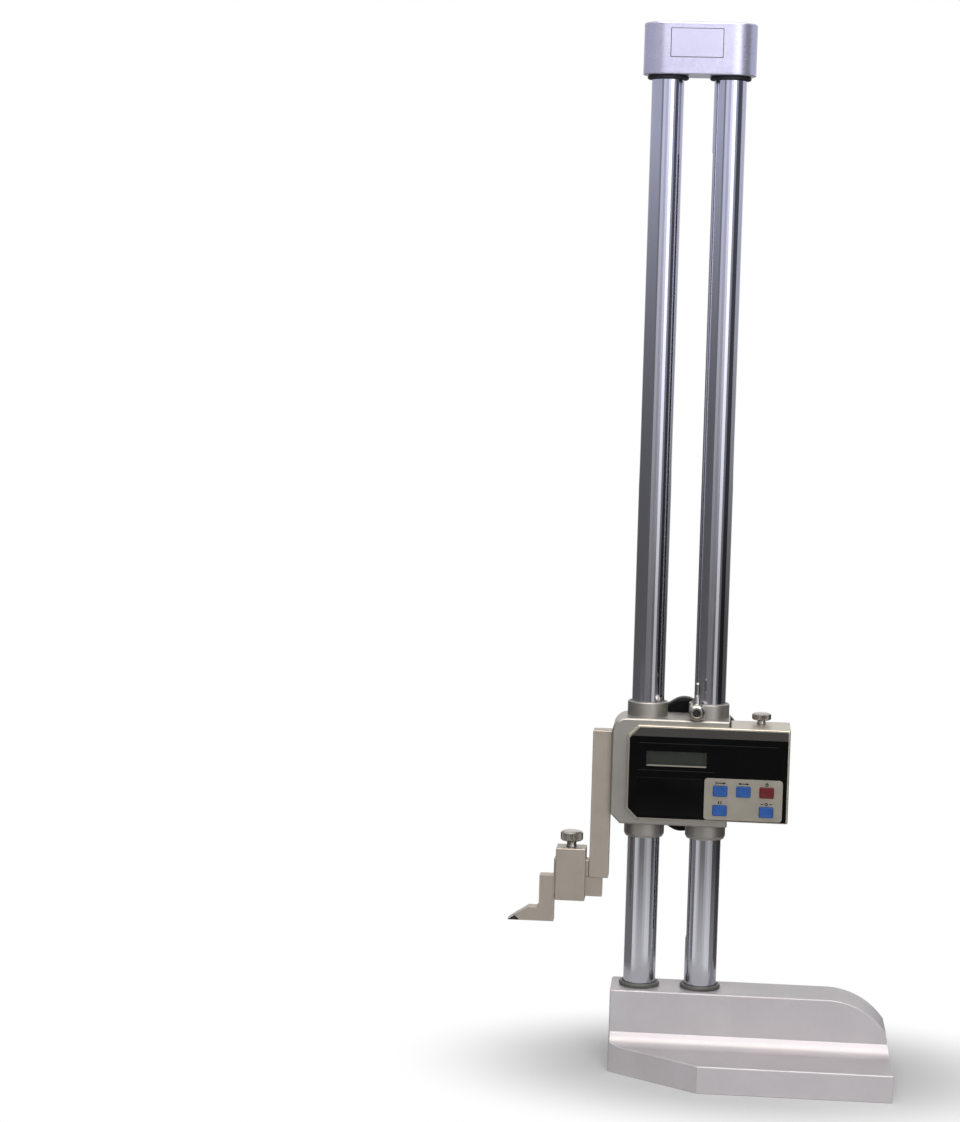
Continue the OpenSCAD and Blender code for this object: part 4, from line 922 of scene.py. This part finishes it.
def makeKey(node):
    s = named(keyShape)
    low, high = spanOf(node)
    width, height = high.x - low.x - 2 * s.flange, high.z - low.z - 2 * s.flange
    wide = softRectangle(high.x - low.x, high.z - low.z, s.corner)
    front = high.y - low.y
    levels = [(0.0, wide), (s.flangeThick, wide)]
    for rise, inset in roundLevels(s.flangeThick, front, 0, s.edge, s.steps):
        levels.append((rise, softRectangle(width - 2 * inset, height - 2 * inset, s.corner - inset)))
    for share in s.dishShares:  # the finger dish in the key's face
        outline = softRectangle(width * share, height * share, s.dishCorner * share)
        levels.append((front - s.dish * (1 - share), outline))
    x, _, z = middleOf(node)
    standIn(node, stackMesh(node, placeAt(x, high.y, z, "-Y"), levels, s.sharp))


def makeKeyMarks():  # small plain signs printed above the keys
    s = named(markShape)
    plate, size, thin = spanOf("keypad_plate")[0].y, s.size, s.stroke
    side = s.side * size
    form = bmesh.new()

    def flat(x, z, outline):
        addStack(form, placeAt(x, plate, z, "-Y"), [(-s.sunk, outline), (s.thick, outline)])

    def bar(x, z, width, height):
        flat(x, z, softRectangle(width * size, height * size, 0))

    def arrow(x, z, way):
        reach, half = way * s.arrow * size, s.arrow * size
        flat(x, z, [Vector((reach, 0)), Vector((-reach, half)), Vector((-reach, -half))])

    def ring(x, z):
        outer, inner = s.ring * size, (s.ring - thin) * size
        section = [(inner, -s.sunk), (outer, -s.sunk), (outer, s.thick), (inner, s.thick)]
        addTurned(form, section, placeAt(x, plate, z, "-Y"), s.ringTurns)

    signs = {
        "preset_key": [(bar, 0, 0, s.arrowBar, thin), (arrow, side, 0, 1), (bar, -side, 0, thin, s.endBar)],
        "units_key": [(arrow, -side, 0, -1), (arrow, side, 0, 1), (bar, 0, 0, s.doubleBar, thin)],
        "power_key": [(ring, 0, 0), (bar, 0, s.switchRise * size, thin, s.switchBar)],
        "hold_key": [(bar, way * s.postGap * size, 0, s.postWide, s.postHigh) for way in (-1, 1)],
        "zero_key": [(ring, 0, 0)] + [(bar, way * side, 0, s.endBar, thin) for way in (-1, 1)],
    }
    for node, strokes in signs.items():
        x, z = middleOf(node)[0], spanOf(node)[1].z - keyShape["flange"] + s.rise
        for draw, right, up, *rest in strokes:
            draw(x + right, z + up, *rest)
    addPiece("keyMarks", formToMesh(form, "keyMarks"), "slider", "bezel_black")


makeHousing()
roundedCopy("battery_lid", displayShape["lidEdge"])
roundedCopy("readout_window", 0.12, 2)
roundedCopy("keypad_plate", 0.12, 2)
makeBezelTrim()
for node in keyNodes:
    makeKey(node)
makeKeyMarks()
print("display unit made")


# Hand wheel behind the frame

wheelShape = dict(
    lobes=8, lobeRadius=11.5, lobeDepth=3.0, rim=6.5, round=2.4, dishDepth=3.0, dishRound=1.2,
    dishSlope=1.0, lobeFrom=1.5, hubRadius=9.5, hubSlope=0.8, hubRound=0.8, bore=3.02, turns=320, blend=46,
    sharp=40, steps=6)


def makeWheel():
    s = named(wheelShape)
    low, high = spanOf("hand_wheel")
    axisX, _, axisZ = middleOf("drive_shaft")
    radius, thick = high.z - axisZ, high.y - low.y
    disc, lobeCentre = radius - s.lobeDepth, radius - s.lobeRadius
    dish, hub, floor = disc - s.rim, s.hubRadius, thick - s.dishDepth

    def lobedReach(angle):
        step = 2 * pi / s.lobes
        off = (angle + pi / 2 + step / 2) % step - step / 2  # a crest stands at the top
        across = lobeCentre * sin(off)
        lobe = lobeCentre * cos(off) + sqrt(max(0.0, s.lobeRadius ** 2 - across ** 2))
        return (disc ** s.blend + lobe ** s.blend) ** (1 / s.blend)

    def flute(angle, r):
        return lobedReach(angle) - radius if r > dish + s.lobeFrom else 0.0

    corners = [
        (s.bore, 0, 0), (radius, 0, s.round), (radius, thick, s.round), (dish, thick, s.dishRound),
        (dish - s.dishSlope, floor, s.dishRound), (hub + s.hubSlope, floor, s.hubRound),
        (hub, thick, s.hubRound), (s.bore, thick, 0)]
    place = placeAt(axisX, low.y, axisZ, "Y")
    turnedPiece("hand_wheel", softOutline(corners, s.steps), place, s.turns, s.sharp, flute)


makeWheel()
roundedCopy("wheel_washer", 0.2, 2)
roundedCopy("wheel_screw", 0.2, 2)
print("hand wheel made")


# Clamp lever and the two thumb screws

thumbShape = dict(headHeight=6.2, headDiameter=14.0, shank=2.5, teeth=44, depth=0.32, edge=1.2, collar=3.3)
lidScrewShape = dict(
    headHeight=4.4, headDiameter=11.8, shank=2.0, teeth=40, depth=0.22, edge=0.9, collar=2.8)
screwShape = dict(
    tip=0.4, shankGap=0.1, collarLow=0.15, collarHigh=0.55, neckFoot=1.1, neck=0.5, crown=0.25,
    crownShare=0.45, underShare=0.7, underRound=0.2, edgeRound=0.3, shoulderRound=0.4, crownRound=0.6,
    roundSteps=4, toothSteps=6, toothFrom=0.05, sharp=30)


def makeThumbScrew(node, shape, footZ):
    s, t = named(shape), named(screwShape)
    low, high = spanOf(node)
    radius, headLow, edge = s.headDiameter / 2, high.z - s.headHeight, s.edge
    shank, neck, under = s.shank, s.shank + t.neck, s.edge * t.underShare

    def flute(angle, r):
        if r < radius - t.toothFrom:
            return 0.0
        wave = abs((angle * s.teeth / (2 * pi)) % 1.0 - 0.5) * 2
        return -s.depth * wave

    section = [
        (0, low.z), (shank - t.tip, low.z), (shank, low.z + t.tip), (shank, footZ + t.shankGap),
        (s.collar, footZ + t.collarLow), (s.collar, footZ + t.collarHigh),
        (neck, footZ + t.neckFoot), (neck, headLow)]
    head = softOutline([
        (neck, headLow, 0), (radius - under, headLow, t.underRound),
        (radius, headLow + under, t.underRound), (radius, high.z - edge, t.edgeRound),
        (radius - edge, high.z - t.crown, t.shoulderRound),
        (radius * t.crownShare, high.z, t.crownRound), (0, high.z, 0)], t.roundSteps)
    x, y, _ = middleOf(node)
    section += [tuple(p) for p in head]
    turnedPiece(node, section, placeAt(x, y, 0), s.teeth * t.toothSteps, t.sharp, flute)


roundedCopy("clamp_lever", 0.3)
roundedCopy("clamp_spindle", 0.12, 2)
makeThumbScrew("lid_screw", lidScrewShape, spanOf("battery_lid")[1].z)
makeThumbScrew("clamp_thumb_screw", thumbShape, spanOf("scriber_clamp")[1].z)
print("lever and thumb screws made")


# Scriber bracket, clamp and scriber

roundedCopy("scriber_bracket", 0.55)
roundedCopy("bracket_screws", 0.25, 2)
roundedCopy("scriber_clamp", 0.6)
roundedCopy("scriber", 0.12, 2, False, "scriberBlade")
roundedCopy("carbide_tip", 0.06, 2)
print("scriber made")


# The nodes that stay as they are take their slot's finish

for node, part in frame["nodes"].items():
    if not part.hide_render:
        part.data.materials.clear()
        part.data.materials.append(finishes[slotOf[node]])
        part.data.shade_smooth()
print("inner pieces finished")


# Camera at the photograph's place

photoCamera = dict(
    place=(0.0254, -1.7320, 0.4722), ahead=(-0.0869, 0.9921, -0.0906), up=(-0.0347, 0.0879, 0.9955),
    focalPixels=2803.3, imageHeight=1122, sensor=36.0)


def makeCamera():
    s = named(photoCamera)
    lens = bpy.data.cameras.new("photoCamera")
    lens.sensor_width = s.sensor
    lens.lens = s.focalPixels / s.imageHeight * s.sensor
    camera = linkNew("photoCamera", lens)
    ahead, up = Vector(s.ahead).normalized(), Vector(s.up)
    right = ahead.cross(up).normalized()
    up = right.cross(ahead)
    turn = Matrix((right, up, -ahead)).transposed().to_4x4()
    camera.matrix_world = Matrix.Translation(s.place) @ turn
    bpy.context.scene.camera = camera


# Studio: pale floor, soft lamps, and cards that only reflections see

white = (1.0, 1.0, 1.0, 1.0)
studio = dict(
    floorSize=6.0, floorShade=0.85, shadeMiddle=(0.035, 0.0, 0.0), shadeStretch=(0.7, 1.0, 1.0),
    fadeNear=0.05, fadeFar=0.16, skyLight=0.32, cardRadius=1.5, cardHeight=1.5, cardFoot=0.28,
    cardLift=0.002, cardSteps=24, wallFade=(0.12, 0.68), matFade=(0.28, 0.7),
    highTint=(0.87, 0.9, 1.1, 1.0), roofCard=(1.0, 1.3, 1.6), roofBack=-0.2, roofGlow=4.4,
    slopeFoot=(1.35, 1.12), slopeGlow=5.4, roofTint=(1.06, 1.0, 0.95, 1.0))
lamps = [  # name, place, aim, width, height, power
    ("topSoftbox", (-0.15, -0.75, 1.75), (0.02, 0.0, 0.25), 1.5, 0.9, 6.4),
    ("frontFill", (0.35, -2.3, 0.75), (0.02, 0.0, 0.3), 1.2, 1.2, 23.0),
]
cards = [  # azimuth from and to, wall glow at the foot and high up and its bend, mat glow near and far
    (-150, -62, 0.125, 0.61, 2.8, 0.2, 0.2),
    (-62, -40, 0.125, 0.61, 2.8, 0.85, 0.65),
    (-40, -28, 0.12, 0.32, 1.6, 0.7, 0.4),
    (-28, -10, 0.22, 0.9, 1.0, 0.62, 0.18),
    (-10, 8, 0.2, 0.66, 1.2, 0.62, 0.18),
    (8, 24, 0.1, 1.2, 1.0, 0.7, 0.38),
    (24, 45, 0.62, 2.3, 1.0, 0.88, 0.5),
    (45, 60, 0.13, 0.5, 1.0, 0.87, 0.42),
    (60, 96, 0.015, 0.11, 1.0, 0.3, 0.08),
    (96, 150, 0.1, 0.74, 1.0, 0.1, 0.04),
]


def bareMaterial(name):  # a material with no nodes yet
    material = bpy.data.materials.new(name)
    material.use_nodes = True
    material.node_tree.nodes.clear()
    return material, material.node_tree


def makeFloor():
    s = named(studio)
    form = bmesh.new()
    bmesh.ops.create_grid(form, x_segments=2, y_segments=2, size=s.floorSize)
    mesh = toMesh(form, "studioFloor")
    material, tree = bareMaterial("paleFloor")
    drawn = vectorMaths(tree, "MULTIPLY", objectPlace(tree), s.shadeStretch)[0]
    distance = vectorMaths(tree, "DISTANCE", drawn, s.shadeMiddle)["Value"]
    fade = gather(tree, distance, s.fadeNear, s.fadeFar, "SMOOTHSTEP")
    rays = addNode(tree, "LightPath").outputs
    seen = maths(tree, "MAXIMUM", rays["Is Camera Ray"], rays["Is Transmission Ray"])
    matt = addNode(tree, "BsdfDiffuse", {"Color": (s.floorShade,) * 3 + (1.0,)})
    pale = addNode(tree, "Emission", {"Strength": 1.0})
    mix = addNode(tree, "MixShader", {
        0: maths(tree, "MULTIPLY", fade, seen), 1: matt.outputs[0], 2: pale.outputs[0]})
    addNode(tree, "OutputMaterial", {"Surface": mix.outputs[0]})
    mesh.materials.append(material)
    linkNew("studioFloor", mesh)


def addSheet(name, rows, along, reach, glow, farTint, bend=1.0):  # a glowing sheet, only for reflections
    form = bmesh.new()
    points = [[form.verts.new(p) for p in row] for row in rows]
    for row, beyond in zip(points, points[1:]):
        form.faces.new((row[0], beyond[0], beyond[1], row[1]))
    mesh = toMesh(form, name)
    material, tree = bareMaterial(name)
    masked = vectorMaths(tree, "MULTIPLY", objectPlace(tree), along)[0]
    level = gather(tree, vectorMaths(tree, "LENGTH", masked)["Value"], *reach)
    tint = blendColour(tree, level, white, farTint)
    strength = spread(tree, maths(tree, "POWER", level, bend), *glow)
    light = addNode(tree, "Emission", {"Color": tint, "Strength": strength})
    addNode(tree, "OutputMaterial", {"Surface": light.outputs[0]})
    mesh.materials.append(material)
    sheet = linkNew(name, mesh)
    for rays in ("camera", "diffuse", "transmission", "volume_scatter", "shadow"):
        setattr(sheet, "visible_" + rays, False)


def makeCards():
    s = named(studio)
    far, near, lift = s.cardRadius, s.cardFoot, s.cardLift
    for i, (start, stop, wallLow, wallHigh, bend, matNear, matFar) in enumerate(cards):
        turns = [radians(start + (stop - start) * k / s.cardSteps) for k in range(s.cardSteps + 1)]
        ways = [Vector((sin(turn), -cos(turn), 0)) for turn in turns]
        wall = [(way * far, way * far + Vector((0, 0, s.cardHeight))) for way in ways]
        mat = [[way * reach + Vector((0, 0, lift)) for reach in (near, far)] for way in ways]
        addSheet("wallCard%d" % i, wall, (0, 0, 1), s.wallFade, (wallLow, wallHigh), s.highTint, bend)
        addSheet("matCard%d" % i, mat, (1, 1, 0), s.matFade, (matNear, matFar), white)
    x, y, z = s.roofCard
    slopeY, slopeZ = s.slopeFoot
    for name, footY, footZ, glow in (
            ("roofCard", s.roofBack, z, s.roofGlow), ("slopeCard", -slopeY, slopeZ, s.slopeGlow)):
        rows = [((side, -y, z), (side, footY, footZ)) for side in (-x, x)]
        addSheet(name, rows, (0, 0, 1), (0.0, z), (glow, glow), s.roofTint)


def makeLamps():
    for name, place, aim, width, height, power in lamps:
        light = bpy.data.lights.new(name, "AREA")
        light.shape = "RECTANGLE"
        light.size, light.size_y = width, height
        light.energy = power
        lamp = linkNew(name, light)
        lamp.location = place
        lamp.rotation_mode = "QUATERNION"
        lamp.rotation_quaternion = (Vector(aim) - Vector(place)).to_track_quat("-Z", "Y")
        lamp.visible_camera = False


def makeSky():
    world = bpy.data.worlds.new("paleSky")
    world.use_nodes = True
    tree = world.node_tree
    tree.nodes.clear()
    rays = addNode(tree, "LightPath").outputs
    sharp = maths(tree, "MAXIMUM", rays["Is Camera Ray"], rays["Is Glossy Ray"])
    seen = maths(tree, "MAXIMUM", sharp, rays["Is Transmission Ray"])
    strength = spread(tree, seen, studio["skyLight"], 1.0)
    glow = addNode(tree, "Background", {"Color": white, "Strength": strength})
    addNode(tree, "OutputWorld", {"Surface": glow.outputs[0]})
    bpy.context.scene.world = world


makeCamera()
makeFloor()
makeCards()
makeLamps()
makeSky()
bpy.context.scene.view_settings.view_transform = "Standard"
print("studio made")
